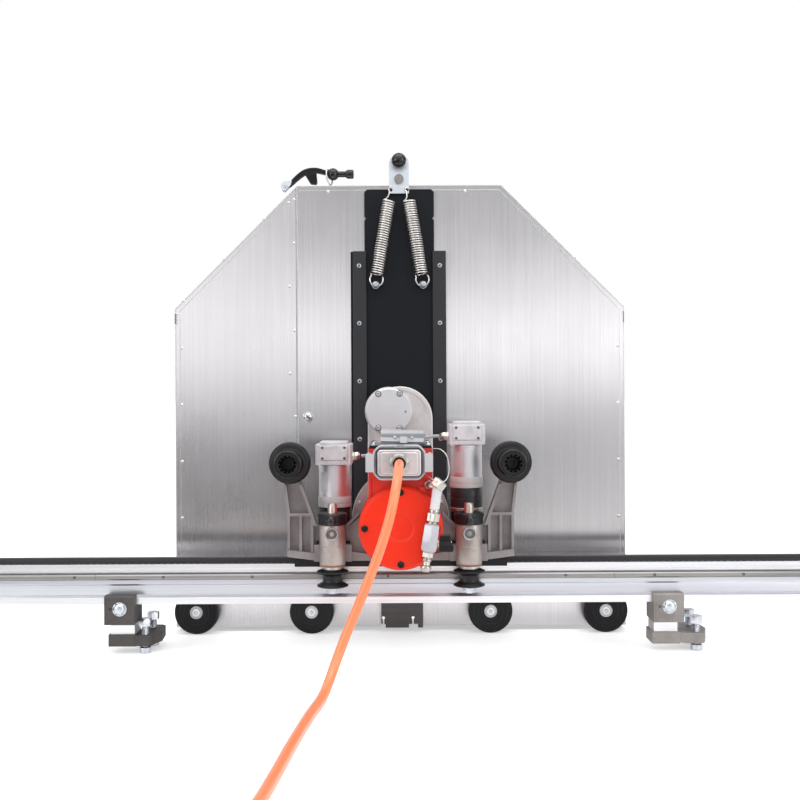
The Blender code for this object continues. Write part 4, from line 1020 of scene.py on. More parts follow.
def build_post(side, x):
    """Post with its rust-toned foot ring, set screw, pin, axle and nut."""
    node = "roller_post_" + side
    post = turned(node + "_fine", [(0, 178.5), (24.2, 178.5), (24.6, 179), (24.6, 186), (25, 187), (25, 212),
        (24.4, 212.6), (24.4, 214.4), (25, 215), (25, 251.5), (24, 253.4), (0, 253.4)], "Z", (x, POST_Y, 0),
        96)
    dress(post, "cast_post", nodes=(node,))
    ring = [(0, 175.2), (24, 175.2), (24.7, 175.8), (24.7, 177.8), (24.2, 178.4), (0, 178.4)]
    dress(turned("post_ring_" + side, ring, "Z", (x, POST_Y, 0), 96), "rust")
    pin = [(0, 253), (9, 253), (9, 289), (8.4, 290), (8.4, 291.5), (7, 293.6), (0, 294)]
    dress(turned("post_pin_" + side, pin, "Z", (x, POST_Y, 0), 64), "copper_pin")
    axle = [(0, 124), (7, 124), (8, 125), (8, 167.6), (16, 168), (17, 169), (17, 173.6), (0, 173.6)]
    dress(turned("post_axle_" + side, axle, "Z", (x, POST_Y, 0), 64), "turned")
    nut = turned_to(hex_head(22, 9, 26), (x, POST_Y, 133.5), (0, 0, -1))
    dress(nut, "zinc").name = "post_nut_" + side
    spot = (x, POST_Y - 24.6, 238)
    boss = turned("post_boss_" + side, [(9.6, -8), (12.6, -8), (12.6, 1), (12, 1.8), (10.4, 1.8),
        (9.8, 1.2)], "Z", ORIGIN, 64)
    dress(turned_to(boss, spot, FRONT), "zinc", "carriage")
    screw = turned("post_set_screw_" + side, [(0, -6), (9.7, -6), (9.7, 0.2), (9, 0.8), (4.4, 0.8),
        (4, 0.5, 6), (4, -4, 6), (0, -4.2)], "Z", ORIGIN, 64)
    dress(turned_to(screw, spot, FRONT), "dark_steel")


def build_lock(side, x):
    """Collar that clamps the post's pin, with its stem and glossy ball."""
    body = "lock_" + side
    collar = [(9.4, 254.2), (26, 254.2), (27, 255), (27, 268.4), (28.4, 269.2), (28.4, 273.6), (26.8, 275.4),
        (14, 275.8), (12.6, 275), (9.4, 275)]
    dress(turned("roller_lock_%s_fine" % side, collar, "Z", (x, POST_Y, 0), 96), "black_ox", body,
        nodes=("roller_lock_" + side,))
    stem = turned("lock_stem_" + side, [(0, -40), (3.4, -40), (3.4, -34), (4, -33), (4, -26), (0, -26)], "Y",
        (x, POST_Y, 265), 32)
    dress(stem, "turned", body)
    ball = [(0, -9.5)] + [(9.5 * sin(pi * i / 20), -9.5 * cos(pi * i / 20)) for i in range(1, 19)]
    ball += [(4.6, 8.6), (0, 8.6)]
    dress(turned("lock_ball_" + side, ball, "Y", (x, POST_Y - 41, 265), 64), "grip", body)
    flat = block("lock_split_" + side, (x - 1, POST_Y - 28.15, 255), (x + 1, POST_Y - 26, 262))
    dress(flat, "black_plate", body)


def build_knob(side, x):
    """Rubber knob: broad lip, hub with grip flutes and the deep socket with a spoked floor."""
    node = "handle_knob_" + side
    c = (x, 0, KNOB_Z)
    disc = [(0, -90.5), (36, -90.5), (39, -91.4), (40, -93.5), (40.2, -100), (40, -106.5), (39, -109),
        (36, -111.4), (31, -112.4), (27.5, -113.2), (26, -115), (25.5, -118), (25.5, -149.5), (25, -151.2),
        (23.6, -152), (19, -152), (17.6, -151.2), (17, -149), (17, -117), (0, -117)]
    dress(turned(node + "_fine", disc, "Y", c, 96), "knob", nodes=(node,))
    bars = []
    for i in range(12):
        angle = radians(30 * i)
        bar = prism("bar", [(14, -1.2), (17.2, -1.6), (17.2, 1.6), (14, 1.2)], "Z", -32, 0)
        bar.data.transform(Matrix.Rotation(radians(90), 4, "X") @ Matrix.Rotation(angle, 4, "Z"))
        bar.data.transform(Matrix.Translation(Vector((x, -149, KNOB_Z)) * MM))
        bars.append(bar)
    dress(merged("knob_flutes_" + side, bars), "grip")
    core = turned("knob_core_" + side, [(0, -116), (11, -116), (11, -124), (10, -125), (6.5, -125),
        (6, -124), (6, -119), (0, -119)], "Y", c, 48)
    dress(core, "black_ox", "carriage")


def build_gearmotor(side, x, ring_low, cap_low, dark_below):
    """Upright gearmotor: reducer, bright ring, black band or steel ring, the can, and the cap."""
    node = "gearmotor_" + side
    c = (x, GEAR_Y, 0)
    low = 213.4
    seat = [(0, low), (30, low), (31, low + 1), (31, low + 30), (30.2, low + 30.8), (30.2, low + 32.2),
        (31, low + 33)]
    top = ring_low - 0.2
    if dark_below:
        seat += [(31, 268), (30, 269), (0, 269)]
        dress(turned(node + "_fine", seat, "Z", c, 96), "black_ox", "carriage",
            (node,))
        band = [(0, 269), (31.6, 269), (32.2, 269.8), (32.2, 277.4), (31.6, 278), (0, 278)]
        dress(turned("reducer_band_" + side, band, "Z", c, 96), "copper_pin")
        sleeve = [(0, 278), (30.8, 278), (31.6, 279), (31.6, 296), (31, 296.6), (31, 298), (31.6, 298.6),
            (31.6, top - 1), (31, top), (0, top)]
        dress(turned("reducer_sleeve_" + side, sleeve, "Z", c, 96), "sleeve")
    else:
        seat += [(31, top - 1), (30, top), (0, top)]
        dress(turned(node + "_fine", seat, "Z", c, 96), "sleeve", "carriage", (node,))
    ring = [(0, ring_low), (31.5, ring_low), (32.5, ring_low + 1), (32.5, ring_low + 7),
        (32, ring_low + 7.5), (32, ring_low + 8.7), (32.5, ring_low + 9.2), (32.5, ring_low + 20),
        (31.8, ring_low + 21), (0, ring_low + 21)]
    dress(turned("motor_ring_" + side, ring, "Z", c, 96), "ring")
    end = cap_low - 0.3
    can = [(0, ring_low + 21), (31, ring_low + 21), (31, end - 5), (31.5, end - 4.5), (31.5, end - 0.8),
        (31, end), (0, end)]
    dress(turned("motor_can_" + side, can, "Z", c, 96), "can")
    label = prism("motor_plate_" + side, plate_arc(x, GEAR_Y, 31.25, 214, 250), "Z", ring_low + 30, end - 14)
    dress(label, "pale")
    build_gearmotor_cap(side, x, cap_low)


def plate_arc(cx, cy, radius, start, end):
    """A thin curved label's section on a round can."""
    outer = arc(cx, cy, radius, start, end, 12)
    inner = arc(cx, cy, radius - 0.8, end, start, 12)
    return outer + inner


def build_gearmotor_cap(side, x, cap_low):
    """Square terminal cap with a stepped lid, corner screws and its nickel gland."""
    node = "gearmotor_cap_" + side
    y = GEAR_Y
    box_piece = block(node + "_fine", (x - 35.5, y - 35.5, cap_low), (x + 35.5, y + 35.5, cap_low + 39.5))
    upright_rounding(box_piece, 4)
    dress(box_piece, "pale", nodes=(node,))
    lid = block("cap_lid_" + side, (x - 27, y - 27, cap_low + 39), (x + 27, y + 27, cap_low + 45))
    dress(bevelled(lid, 2, 3), "pale")
    front = y - 35.5
    plate = block("cap_plate_" + side, (x - 27.5, front - 2.2, cap_low + 9),
        (x + 27.5, front + 0.5, cap_low + 37.5))
    dress(bevelled(plate, 1.2, 3), "pale")
    shelf = prism("cap_skirt_" + side, [(front - 1.8, cap_low + 8), (front + 0.5, cap_low + 8),
        (front + 0.5, cap_low + 0.6), (front - 0.1, cap_low + 0.6)], "X", x - 26, x + 26)
    dress(bevelled(shelf, 0.4, 2), "pale")
    corners = [(x + a, front - 2.2, cap_low + b) for a in (-21.5, 21.5) for b in (13, 33.5)]
    placed("cap_screws_" + side, lambda: cap_screw(5.4, 0.9, 3.2), corners, FRONT, "dark_steel", "carriage")
    inner = -1 if x > 0 else 1
    start = (x + inner * 35.5, y - 12, cap_low + 16)
    gland = merged("gland", [turned("g", [(0, -0.5), (8, -0.5, 6), (8, 4, 6), (7.6, 4.5), (0, 4.5)], "Z",
        ORIGIN, 48), turned("g", [(0, 4), (6.6, 4), (6.6, 5.4), (0, 5.4)], "Z", ORIGIN, 48),
        turned("g", [(0, 5.4), (7.6, 5.4, 6), (7.6, 11, 6), (6.6, 13.6), (4.4, 15), (3.1, 15), (3.1, 10),
        (0, 10)], "Z", ORIGIN, 48)])
    dress(turned_to(gland, start, (inner, 0, 0)), "nickel").name = "cap_gland_" + side


def upright_rounding(piece, width):
    """Round a block's upright edges broadly and the others a little."""
    mesh = piece.data
    weights = mesh.attributes.new("bevel_weight_edge", "FLOAT", "EDGE")
    for edge in mesh.edges:
        a, b = (mesh.vertices[i].co for i in edge.vertices)
        upright = abs(a.z - b.z) > max(abs(a.x - b.x), abs(a.y - b.y))
        weights.data[edge.index].value = 1 if upright else 0.28
    rounding = piece.modifiers.new("edges", "BEVEL")
    rounding.width = width * MM
    rounding.segments = 5
    rounding.limit_method = "WEIGHT"
    rounding.harden_normals = True
    return piece


def build_carriage():
    """The casting, its faces below 133 mm painted black as shade under the carriage, and everything standing on
    its two decks.
    """
    frame_piece = soften("carriage_frame", "cast", 1.8, 3)
    # Faces below 133 mm take black oxide: painted shade under the carriage.
    two_tone(frame_piece, "black_ox", lambda c: c.z < 133)
    for side, sign in (("left", -1), ("right", 1)):
        x = sign * POST_X
        build_post(side, x)
        build_lock(side, x)
        build_knob(side, sign * KNOB_X)
        build_roller("v_roller_front_" + side, "roller_front_" + side)
        build_roller("v_roller_rear_" + side, "roller_rear_" + side)
        spots = [(x + a, b, 213) for a in (-27, 27) for b in (-88, 2)]
        placed("deck_screws_" + side, lambda: cap_screw(10, 5, 5), spots, UP, "black_ox")
        cap = turned("knob_bolt_" + side, [(0, -70.4), (9, -70.4), (9, -62), (8, -61), (0, -61)], "Y",
            (sign * KNOB_X, 0, KNOB_Z), 48)
        dress(cap, "zinc")
    # A dark strip along the rail's front under the carriage: painted shade, which the rail slab also reflects.
    shade_strip = block("rail_shade_strip", (-205, -92, 168.8), (205, -87.6, 184))
    dress(bevelled(shade_strip, 0.8, 2), "knob")
    fillet = prism("web_fillet", [(-100, 246), (-64, 246), (-64, 274), (-79.5, 264.5)], "Y", -83, -80.1)
    dress(fillet, "cast")
    build_gearmotor("left", -POST_X, 280, 364, False)
    build_gearmotor("right", POST_X, 317, 402, True)
    soften("travel_pinion", "turned", 0.3, 1)


# ---------------------------------------------------------------- motor, connector and water line

MOTOR_Z = 254
PLUG_X = -2
PLUG_Z = 376


def build_motor():
    """Red housing with its cap, cap screws, gussets and bands, and the flange with its screws."""
    soften("motor_housing", "red", 2.4, 3)
    cap = [(0, -168.2), (76.5, -168.2), (77.6, -169), (78, -170.5), (78, -180), (77.6, -181.4),
        (72.6, -186.2), (71.4, -186.8), (70, -187), (58, -187), (26.5, -187), (25.4, -186.6), (22.6, -183.6),
        (21.5, -183.2), (0, -183.2)]
    dress(turned("motor_end_cap_fine", cap, "Y", (0, 0, MOTOR_Z), 128), "red_cap", nodes=("motor_end_cap",))
    lip = [(76.6, -163.5), (77.2, -163.5), (77.2, -168.2), (76.6, -168.2)]
    dress(turned("cap_joint", lip, "Y", (0, 0, MOTOR_Z), 96), "black_ox", "carriage")
    spots = [(66.5 * cos(radians(a)), -186.9, MOTOR_Z + 66.5 * sin(radians(a))) for a in (90, 180, 270, 0)]
    placed("cap_bolts", lambda: cap_screw(12, 4.5, 6), spots, FRONT, "button")
    seats = [turned_to(turned("seat", [(6.4, -0.2), (8.4, -0.2), (8.4, 0.3), (7.9, 0.5), (6.8, 0.5),
        (6.4, 0.3)], "Z", ORIGIN, 40), spot, FRONT) for spot in spots]
    dress(merged("cap_bolt_seats", seats), "red_cap")
    gussets = [prism("gusset", [(-6, 346), (-18, 333), (6, 333)], "Y", -172, -166),
        block("ledge", (6, -170, 341.8), (59, -166, 343.6)), block("lug", (34, -176, 318), (46, -166, 329))]
    gussets += [block("edge", (min(a, b), -170.8, 294), (max(a, b), -166, 345)) for a,
        b in ((-59.4, -55), (55, 59.4))]
    dress(bevelled(merged("motor_gussets", gussets), 0.8, 3), "red")
    bands = [turned("band", [(75.5, y), (76.9, y), (77.3, y + 0.5), (77.3, y + 4.5), (76.9, y + 5),
        (75.5, y + 5)], "Y", (0, 0, MOTOR_Z), 96) for y in (-60, -40, -20)]
    dress(merged("motor_bands", bands), "red")
    collar = [(70, -9), (95.5, -9), (97, -7.6), (97, -3), (96, -2), (70, -2)]
    flange = turned("motor_flange", collar, "Y", (0, 0, MOTOR_Z), 128)
    keep_above(flange, 214)
    dress(flange, "cast_arm")
    spots = [(88 * cos(radians(a)), -8.8, MOTOR_Z + 88 * sin(radians(a)))
        for a in (20, 62, 118, 160, 195, 345)]
    placed("flange_screws", lambda: cap_screw(7, 3.4, 3.5), spots, FRONT, "zinc")


def keep_above(piece, level):
    """Cut away what is below a height, in millimetres, and close the cut."""
    shape = bmesh.new()
    shape.from_mesh(piece.data)
    geometry = shape.verts[:] + shape.edges[:] + shape.faces[:]
    cut = bmesh.ops.bisect_plane(shape, geom=geometry, plane_co=(0, 0, level * MM), plane_no=(0, 0, 1),
        clear_inner=True)
    bmesh.ops.edgenet_fill(shape, edges=[e for e in cut["geom_cut"] if isinstance(e, bmesh.types.BMEdge)])
    shape.to_mesh(piece.data)
    shape.free()


def build_terminal_cover():
    """Gasket, cover and cable box over the terminal box, with their screws and the tilted bright plate."""
    cover = block("terminal_cover_fine", (-58, -166, 402.2), (58, -64, 406))
    dress(bevelled(cover, 1.4, 3), "grip", "carriage", ("terminal_cover",))
    gasket = block("cover_gasket", (-59, -167, 400), (59, -63, 402.2))
    dress(bevelled(gasket, 0.6, 2), "rubber")
    box_piece = block("cable_box", (-37, -140, 405.8), (48, -84, 428))
    dress(bevelled(box_piece, 3, 4), "grey")
    plate = block("cover_plate", (-39, -1.6, 0), (42, 1.6, 24))
    lip = block("lip", (-39, -1.6, 22), (42, 14, 24.6))
    tab = block("tab", (-3, -6, -4), (11, 1.6, 9))
    tilt = Matrix.Translation(Vector((2, -141.6, 411)) * MM) @ Matrix.Rotation(radians(1.5), 4, "Y")
    tilt = tilt @ Matrix.Rotation(radians(-22), 4, "X")
    plates = merged("bright_plate", [plate, lip, tab])
    plates.data.transform(tilt)
    dress(bevelled(plates, 0.7, 2), "grey_light", "carriage")
    spots = [tilt @ (Vector((x, -1.6, 9)) * MM) / MM for x in (-12, 20)]
    placed("plate_screws", lambda: cap_screw(6.5, 2.2, 3.2), spots, tilt.to_3x3() @ Vector(FRONT), "zinc")
    corners = [(x, y, 405.9) for x in (-50, 52.5) for y in (-156, -74)]
    placed("cover_screws", lambda: cap_screw(8, 3, 4), corners, UP, "zinc")


def build_connector():
    """Locking frame, two-part metal hood, nickel gland with its seal, and the side levers."""
    soften("hood_frame", "grey", 1.6, 3)
    rim = rounded_block("hood_seal", (PLUG_X - 42, -191.6, PLUG_Z - 26), (PLUG_X + 42, -190.6, PLUG_Z + 26),
        6, 0.4)
    dress(rim, "rubber")
    hood = rounded_block("connector_hood_fine", (PLUG_X - 40, -209, PLUG_Z - 24),
        (PLUG_X + 40, -191.6, PLUG_Z + 24), 7, 2.5)
    dress(hood, "hood", nodes=("connector_hood",))
    face = rounded_block("hood_face", (PLUG_X - 34, -214, PLUG_Z - 20), (PLUG_X + 34, -208, PLUG_Z + 20), 6,
        2.2)
    dress(face, "hood")
    bail = smooth_corner([(-4.5, 30.5), (-36, 30.5), (-46.5, 19.5), (-46.5, -19.5), (-36, -30.5),
        (36, -30.5), (46.5, -19.5), (46.5, 19.5), (36, 30.5), (8.5, 30.5)])
    wire = tube_mesh("hood_bail", [(PLUG_X + x, -192.4, PLUG_Z + z) for x, z in bail], 2.1, 4)
    dress(wire, "grey_light")
    ends = [turned_to(hex_head(5, 4), (PLUG_X + x, -191, PLUG_Z + 30.5), FRONT) for x in (-6.5, 10.5)]
    dress(merged("bail_ends", ends), "grey_light")
    nut = turned("cable_gland_fine", [(9.6, -213.8), (17, -213.8, 8), (17, -217.6, 8), (16.4, -218.2),
        (16.4, -220), (15.4, -221.8), (13.6, -222.5), (11.7, -222.5), (11.5, -221.5), (9.6, -219)][::-1],
        "Y", (PLUG_X, 0, PLUG_Z), 96)
    dress(nut, "nickel", nodes=("cable_gland",))
    seal = [(8.3, -220.8), (10, -221.9), (11.4, -221.3), (11.4, -218), (8.3, -218)]
    dress(turned("gland_seal", seal, "Y", (PLUG_X, 0, PLUG_Z), 64), "rubber")
    for side, sign in (("left", -1), ("right", 1)):
        soften("hood_lever_" + side, "grey", 0.9, 2)
        inner, outer = sorted((PLUG_X + sign * 46.2, PLUG_X + sign * 61.6))
        face = block("lever_face_" + side, (inner, -208, PLUG_Z - 16.8), (outer, -203.6, PLUG_Z + 16.8))
        dress(bevelled(face, 1.2, 3), "grey_light", "hood_lever_" + side)
        pin = turned("lever_pivot_" + side, [(0, -17.6), (3.4, -17.6), (3.8, -17.2), (3.8, 17.2),
            (3.4, 17.6), (0, 17.6)], "Z", (PLUG_X + sign * 55.5, -184, PLUG_Z), 32)
        dress(pin, "zinc", "hood_lever_" + side)


def smooth_corner(outline):
    """Points along an open outline with its corners rounded off."""
    points = [Vector(outline[0])]
    for a, b, c in zip(outline, outline[1:], outline[2:]):
        a, b, c = Vector(a), Vector(b), Vector(c)
        start, end = b + (a - b).normalized() * 5, b + (c - b).normalized() * 5
        for i in range(7):
            t = i / 6
            points.append(start * (1 - t) ** 2 + b * 2 * t * (1 - t) + end * t * t)
    points.append(Vector(outline[-1]))
    return [(p.x, p.y) for p in points]


def rounded_block(name, low, high, corner, edge):
    """A block with broadly rounded corners seen from the front, and a softer front edge."""
    outline = []
    for cx, cz, start in ((high[0] - corner, high[2] - corner, 0), (low[0] + corner, high[2] - corner, 90),
            (low[0] + corner, low[2] + corner, 180), (high[0] - corner, low[2] + corner, 270)):
        outline += arc(cx, cz, corner, start, start + 90, 8)
    return bevelled(prism(name, outline, "Y", low[1], high[1]), edge, 4, 50)


WATER_TOP = (70, -203, 344)
WATER_BOTTOM = (43, -206, 171)


def along_water(made):
    """Lay a part built down the -Z axis from the origin along the tilted water line."""
    line = (Vector(WATER_BOTTOM) - Vector(WATER_TOP)).normalized()
    turn = Vector((0, 0, -1)).rotation_difference(line).to_matrix().to_4x4()
    made.data.transform(Matrix.Translation(Vector(WATER_TOP) * MM) @ turn)
    return made


def build_water_line():
    """Elbow, union nut, braided hose with ferrules, tap body, wing handle and hose tail."""
    nuts = [turned("n", [(0, -8), (8.9, -8), (9.2, -9), (9.2, -12), (0, -12)], "Z", ORIGIN, 72),
        turned("n", [(0, -54), (9.4, -54), (10, -55), (10, -57.4), (9.4, -58), (9.4, -60), (10.8, -61, 6),
        (10.8, -75, 6), (9.8, -76.4), (8.6, -77), (8.6, -79), (9.8, -79.6), (9.8, -81), (0, -81)], "Z",
        ORIGIN, 72), turned("n", [(0, -132), (8.6, -132, 6), (9.4, -133, 6), (9.4, -141, 6), (8.6, -142),
        (7.4, -142.6), (7.4, -144.4), (8.8, -145), (8.8, -148), (7, -149), (6.6, -150), (7.2, -152),
        (6.6, -153.5), (7.2, -155.5), (6.6, -157), (9.4, -158), (10, -159), (10, -163), (9, -164.5),
        (7.4, -168), (5, -168), (5, -160), (0, -160)], "Z", ORIGIN, 72)]
    dress(along_water(merged("water_fittings", nuts)), "nickel", nodes=("water_valve",))
    hose = turned("water_hose", [(0, -11.6), (8.4, -11.6)] + [(8.8, -12 - 1.5 * i) for i in range(0, 28)]
        + [(8.4, -54.4), (0, -54.4)], "Z", ORIGIN, 72)
    dress(along_water(hose), "hose")
    body = turned("tap_body", [(0, -80.6), (10.5, -80.6, 6), (12.4, -82, 6), (13.2, -84, 6), (13.6, -112, 6),
        (13.6, -127, 6), (11, -131, 6), (9, -132.4), (0, -132.4)], "Z", ORIGIN, 96)
    dress(along_water(body), "tap_grey")
    elbow = tube_mesh("water_elbow", smooth_route([(53, -168.5, 333), (53, -178, 333), (53.2, -188, 333.2),
        (56, -196, 334), (62, -201, 335.6)], 2), 6.6, 5)
    dress(elbow, "nickel")
    nut = turned_to(hex_head(16, 6), (53, -168, 333), FRONT)
    dress(nut, "nickel").name = "water_union"
    crown = turned("water_nut", [(0, -10), (9, -10), (12.4, -8.4), (12.6, -8, 6), (12.6, 5.4, 6), (12.2, 6),
        (9.6, 7.4), (6.5, 7.6), (6, 5), (0, 5)], "Z", ORIGIN, 72)
    dress(turned_to(crown, (70.5, -203, 338), (0.62, 0, 0.78)), "nickel")
    neck = turned("tap_neck", [(0, 54), (7.5, 54, 6), (7.5, 66, 6), (6.4, 67), (6.4, 69), (0, 69)], "X",
        (0, -204.6, 229), 48)
    dress(neck, "nickel")
    build_tap()


def build_tap():
    """The tap's wing handle on its stem."""
    y, z = -204.6, 229
    side_view = [(69.6, z - 15.5), (69.6, z - 9), (71, z + 13), (73, z + 15.5), (88, z + 15.5),
        (90.5, z + 14), (91.5, z + 3), (96.5, z - 4), (96.5, z - 13), (94, z - 15.5), (72, z - 15.5)]
    wing_piece = bevelled(prism("tap_wing", side_view, "Y", y - 7, y + 7), 2.4, 4)
    dress(wing_piece, "grip", "tap", nodes=("valve_handle",))
    rib = bevelled(prism("tap_rib", [(72, z - 2.5), (90, z - 2.5), (90, z + 2.5), (72, z + 2.5)], "Y",
        y - 8.6, y + 8.6), 1, 3)
    dress(rib, "grip", "tap")
    screw = turned("tap_screw", [(0, 91), (3.6, 91), (3.6, 92.6), (2.8, 93.2), (0, 93.2)], "X", (0, y, z), 32)
    dress(screw, "zinc", "tap")


# ---------------------------------------------------------------- arm and blade

BLADE_Z = 449
BLADE_Y = 167


def build_arm():
    """The cast arm with its bearing cover, socket screws and oil plug."""
    soften("arm_housing", "cast_arm", 3.5, 4)
    c = (-23, 0, 465)
    cover = [(0, 76.2), (46.6, 76.2), (47.5, 75.2), (47.5, 73.6), (46.2, 72.5), (0, 72.4)]
    dress(turned("arm_cover_fine", cover, "Y", c, 128), "cover", "arm", nodes=("arm_cover",))
    seat = [(0, 77), (50.5, 77), (50.5, 75.9), (49.5, 75), (0, 75)]
    dress(turned("cover_seat", seat, "Y", c, 128), "cast_arm", "arm")
    spots = [(x, 72.6, z) for x, z in ((-45.3, 501), (-0.7, 501.5), (-45.6, 430.5), (-1.2, 429))]
    placed("arm_cover_screws", lambda: cap_screw(9.6, 2.6, 5), spots, FRONT, "zinc", "arm")
    rings = [turned_to(turned("ring", [(4.9, -0.4), (6.6, -0.4), (6.6, 0.1), (6.1, 0.3), (5.4, 0.3),
        (4.9, 0.1)], "Z", ORIGIN, 40), (x, 72.4, z), FRONT) for x, _, z in spots]
    dress(merged("cover_screw_seats", rings), "dark_steel", "arm")
    placed("cover_oil_hole", lambda: flat_screw(4.4), [(11.5, 72.3, 464)], FRONT, "black_ox", "arm")
    rim = arc(0, BLADE_Z, 62, 20, 160, 28) + arc(0, BLADE_Z, 58.5, 160, 20, 28)
    dress(bevelled(prism("arm_rib", rim, "Y", 75, 77), 0.6, 2), "cast_arm", "arm")
    screws = [(x, 76.2, z) for x, z in ((55, 400), (-55, 400), (55, 345), (-55, 345))]
    placed("arm_screws", lambda: cap_screw(8.5, 5, 4.5), screws, FRONT, "black_ox", "arm")


def build_blade():
    """Spindle and flange, and the segmented blade with its clamp and screw."""
    c = (0, 0, BLADE_Z)
    spindle = [(0, 84), (23, 84), (24, 85), (24, 154.8), (40, 156), (54, 157), (55, 158), (55, 163.4),
        (54.4, 164.2), (0, 164.2)]
    dress(turned("blade_spindle_fine", spindle, "Y", c, 96), "steel", "blade", nodes=("blade_spindle",))
    core = [(0, BLADE_Y - 1.8), (382, BLADE_Y - 1.8), (382, BLADE_Y + 1.8), (0, BLADE_Y + 1.8)]
    dress(turned("saw_blade_core", core, "Y", c, 180), "blade", "blade", nodes=("saw_blade",))
    teeth, step = [], 12
    for i in range(30):
        start = i * step + 0.9
        end = (i + 1) * step - 0.9
        outline = arc(0, BLADE_Z, 400, start, end, 5) + arc(0, BLADE_Z, 378, end, start, 5)
        teeth.append(prism("tooth", outline, "Y", BLADE_Y - 2.4, BLADE_Y + 2.4))
    dress(bevelled(merged("blade_segments", teeth), 0.4, 1), "black_ox", "blade")
    clamp = [(0, 168), (55, 168), (55, 175.4), (53.5, 177), (22, 177), (21, 176), (0, 176)]
    dress(turned("blade_clamp", clamp, "Y", c, 96), "steel", "blade")
    head = turned_to(hex_head(22, 7.6), (0, 176.2, BLADE_Z), (0, 1, 0))
    dress(head, "black_ox", "blade").name = "blade_screw"
    spots = [(36 * cos(radians(a)), 176.8, BLADE_Z + 36 * sin(radians(a))) for a in range(30, 390, 60)]
    placed("blade_clamp_screws", lambda: flat_screw(10), spots, (0, 1, 0), "black_ox", "blade")


# ---------------------------------------------------------------- guard

GUARD_HALF = 476
GUARD_TOP = 943
GUARD_CHAMFER = 260
GUARD_FRONT = 112.5
SEAM_X = -216
PLUNGER_Z = 990


def rim_outline(inset):
    """The guard's five upper and side edges, drawn in by an even amount, from lower left round to lower right."""
    half, top = GUARD_HALF - inset, GUARD_TOP - inset
    corner = GUARD_CHAMFER - inset * 0.5858
    return [(-half, 9), (-half, top - corner), (corner - half, top), (half - corner, top),
        (half, top - corner), (half, 9)]


def build_guard():
    """Brushed sheets with folded edge, seam, rivets, screws and weld lines."""
    soften("guard_shell", "stainless", 0.9, 2)
    main = soften("guard_front", "stainless_front", 0.5, 1)
    two_tone(main, "plough", lambda c: c.y < 112.4 and c.z < 61 and -43 < c.x < 47)
    soften("guard_front_left", "stainless", 0.5, 1)
    outer, inner = rim_outline(0.6), rim_outline(2.4)
    strip = prism("guard_edge", outer + inner[::-1], "Y", GUARD_FRONT - 0.5, GUARD_FRONT + 0.6)
    dress(bevelled(strip, 0.3, 2), "stainless_trim", "guard")
    outer, inner = rim_outline(10), rim_outline(11.4)
    fold = prism("guard_fold", outer + inner[::-1], "Y", GUARD_FRONT - 0.35, GUARD_FRONT + 0.4)
    dress(bevelled(fold, 0.3, 2), "stainless_trim", "guard")
    seam = block("guard_seam", (SEAM_X - 2.2, GUARD_FRONT - 0.9, 10), (SEAM_X + 0.6, GUARD_FRONT + 0.3, 941))
    dress(bevelled(seam, 0.35, 2), "stainless_trim", "guard")
    gap = block("guard_seam_gap", (SEAM_X - 3, GUARD_FRONT - 0.12, 10),
        (SEAM_X - 2.2, GUARD_FRONT + 0.3, 941))
    dress(gap, "black_ox", "guard")
    face = GUARD_FRONT
    spots = [(-223, face, 914), (-234, face, 907), (-223, face, 821), (-233, face, 729.5),
        (-222.6, face, 636), (-233, face, 545), (-222, face, 454), (-233, face, 362), (-222, face, 271),
        (-458, face, 700), (-371, face, 788), (-286, face, 873)]
    spots += [(x, face, z) for x in (-462, 462) for z in (600, 480, 360, 240)]
    spots += [(x, face, 930) for x in (-150, 140)] + [(286, face, 873), (371, face, 788)]
    placed("guard_rivets", lambda: rivet(6.5), spots, FRONT, "stainless_trim", "guard")
    build_slotted_screw()
    build_guard_back()
    build_plough()
    welds = []
    for corner in ((-GUARD_HALF + 1, 683), (GUARD_HALF - 1, 683)):
        sign = 1 if corner[0] > 0 else -1
        welds.append(block("patch", (corner[0] - 3, GUARD_FRONT - 0.5, 650),
            (corner[0] + 3 - 2.2 * sign, GUARD_FRONT + 1.2, 674)))
    dress(bevelled(merged("corner_welds", welds), 0.8, 2), "stainless_trim", "guard")
    hem = block("guard_hem", (-469, 220.2, 9.2), (469, 222.6, 30))
    dress(bevelled(hem, 0.6, 2), "stainless", "guard")


def build_slotted_screw():
    """The large domed screw with a slot, left of the guide bars."""
    x, z = -195, 453
    dome = [(0, -0.4), (8.5, -0.4), (8.5, 0.8), (7.8, 2), (5.5, 3.1), (2.5, 3.7), (0, 3.8)]
    piece = turned_to(turned("quarter_turn_screw", dome, "Z", ORIGIN, 64), (x, GUARD_FRONT, z), FRONT)
    dress(piece, "zinc", "guard")
    # The slot is a black bar across the dome: painted shade inside the slot.
    slot = block("quarter_turn_slot_shade", (x - 6, GUARD_FRONT - 3.95, z - 0.9), (x + 6, GUARD_FRONT - 2, z + 0.9))
    slot.data.transform(Matrix.Translation(Vector((x, 0, z)) * MM) @ Matrix.Rotation(radians(35), 4,
        "Y") @ Matrix.Translation(Vector((-x, 0, -z)) * MM))
    dress(slot, "black_ox", "guard")
    ring = [(8.4, -0.4), (11, -0.4), (11, 0.4), (10.6, 0.7), (8.4, 0.7)]
    washer = turned_to(turned("quarter_turn_washer", ring, "Z", ORIGIN, 64), (x, GUARD_FRONT, z), FRONT)
    dress(washer, "steel", "guard")


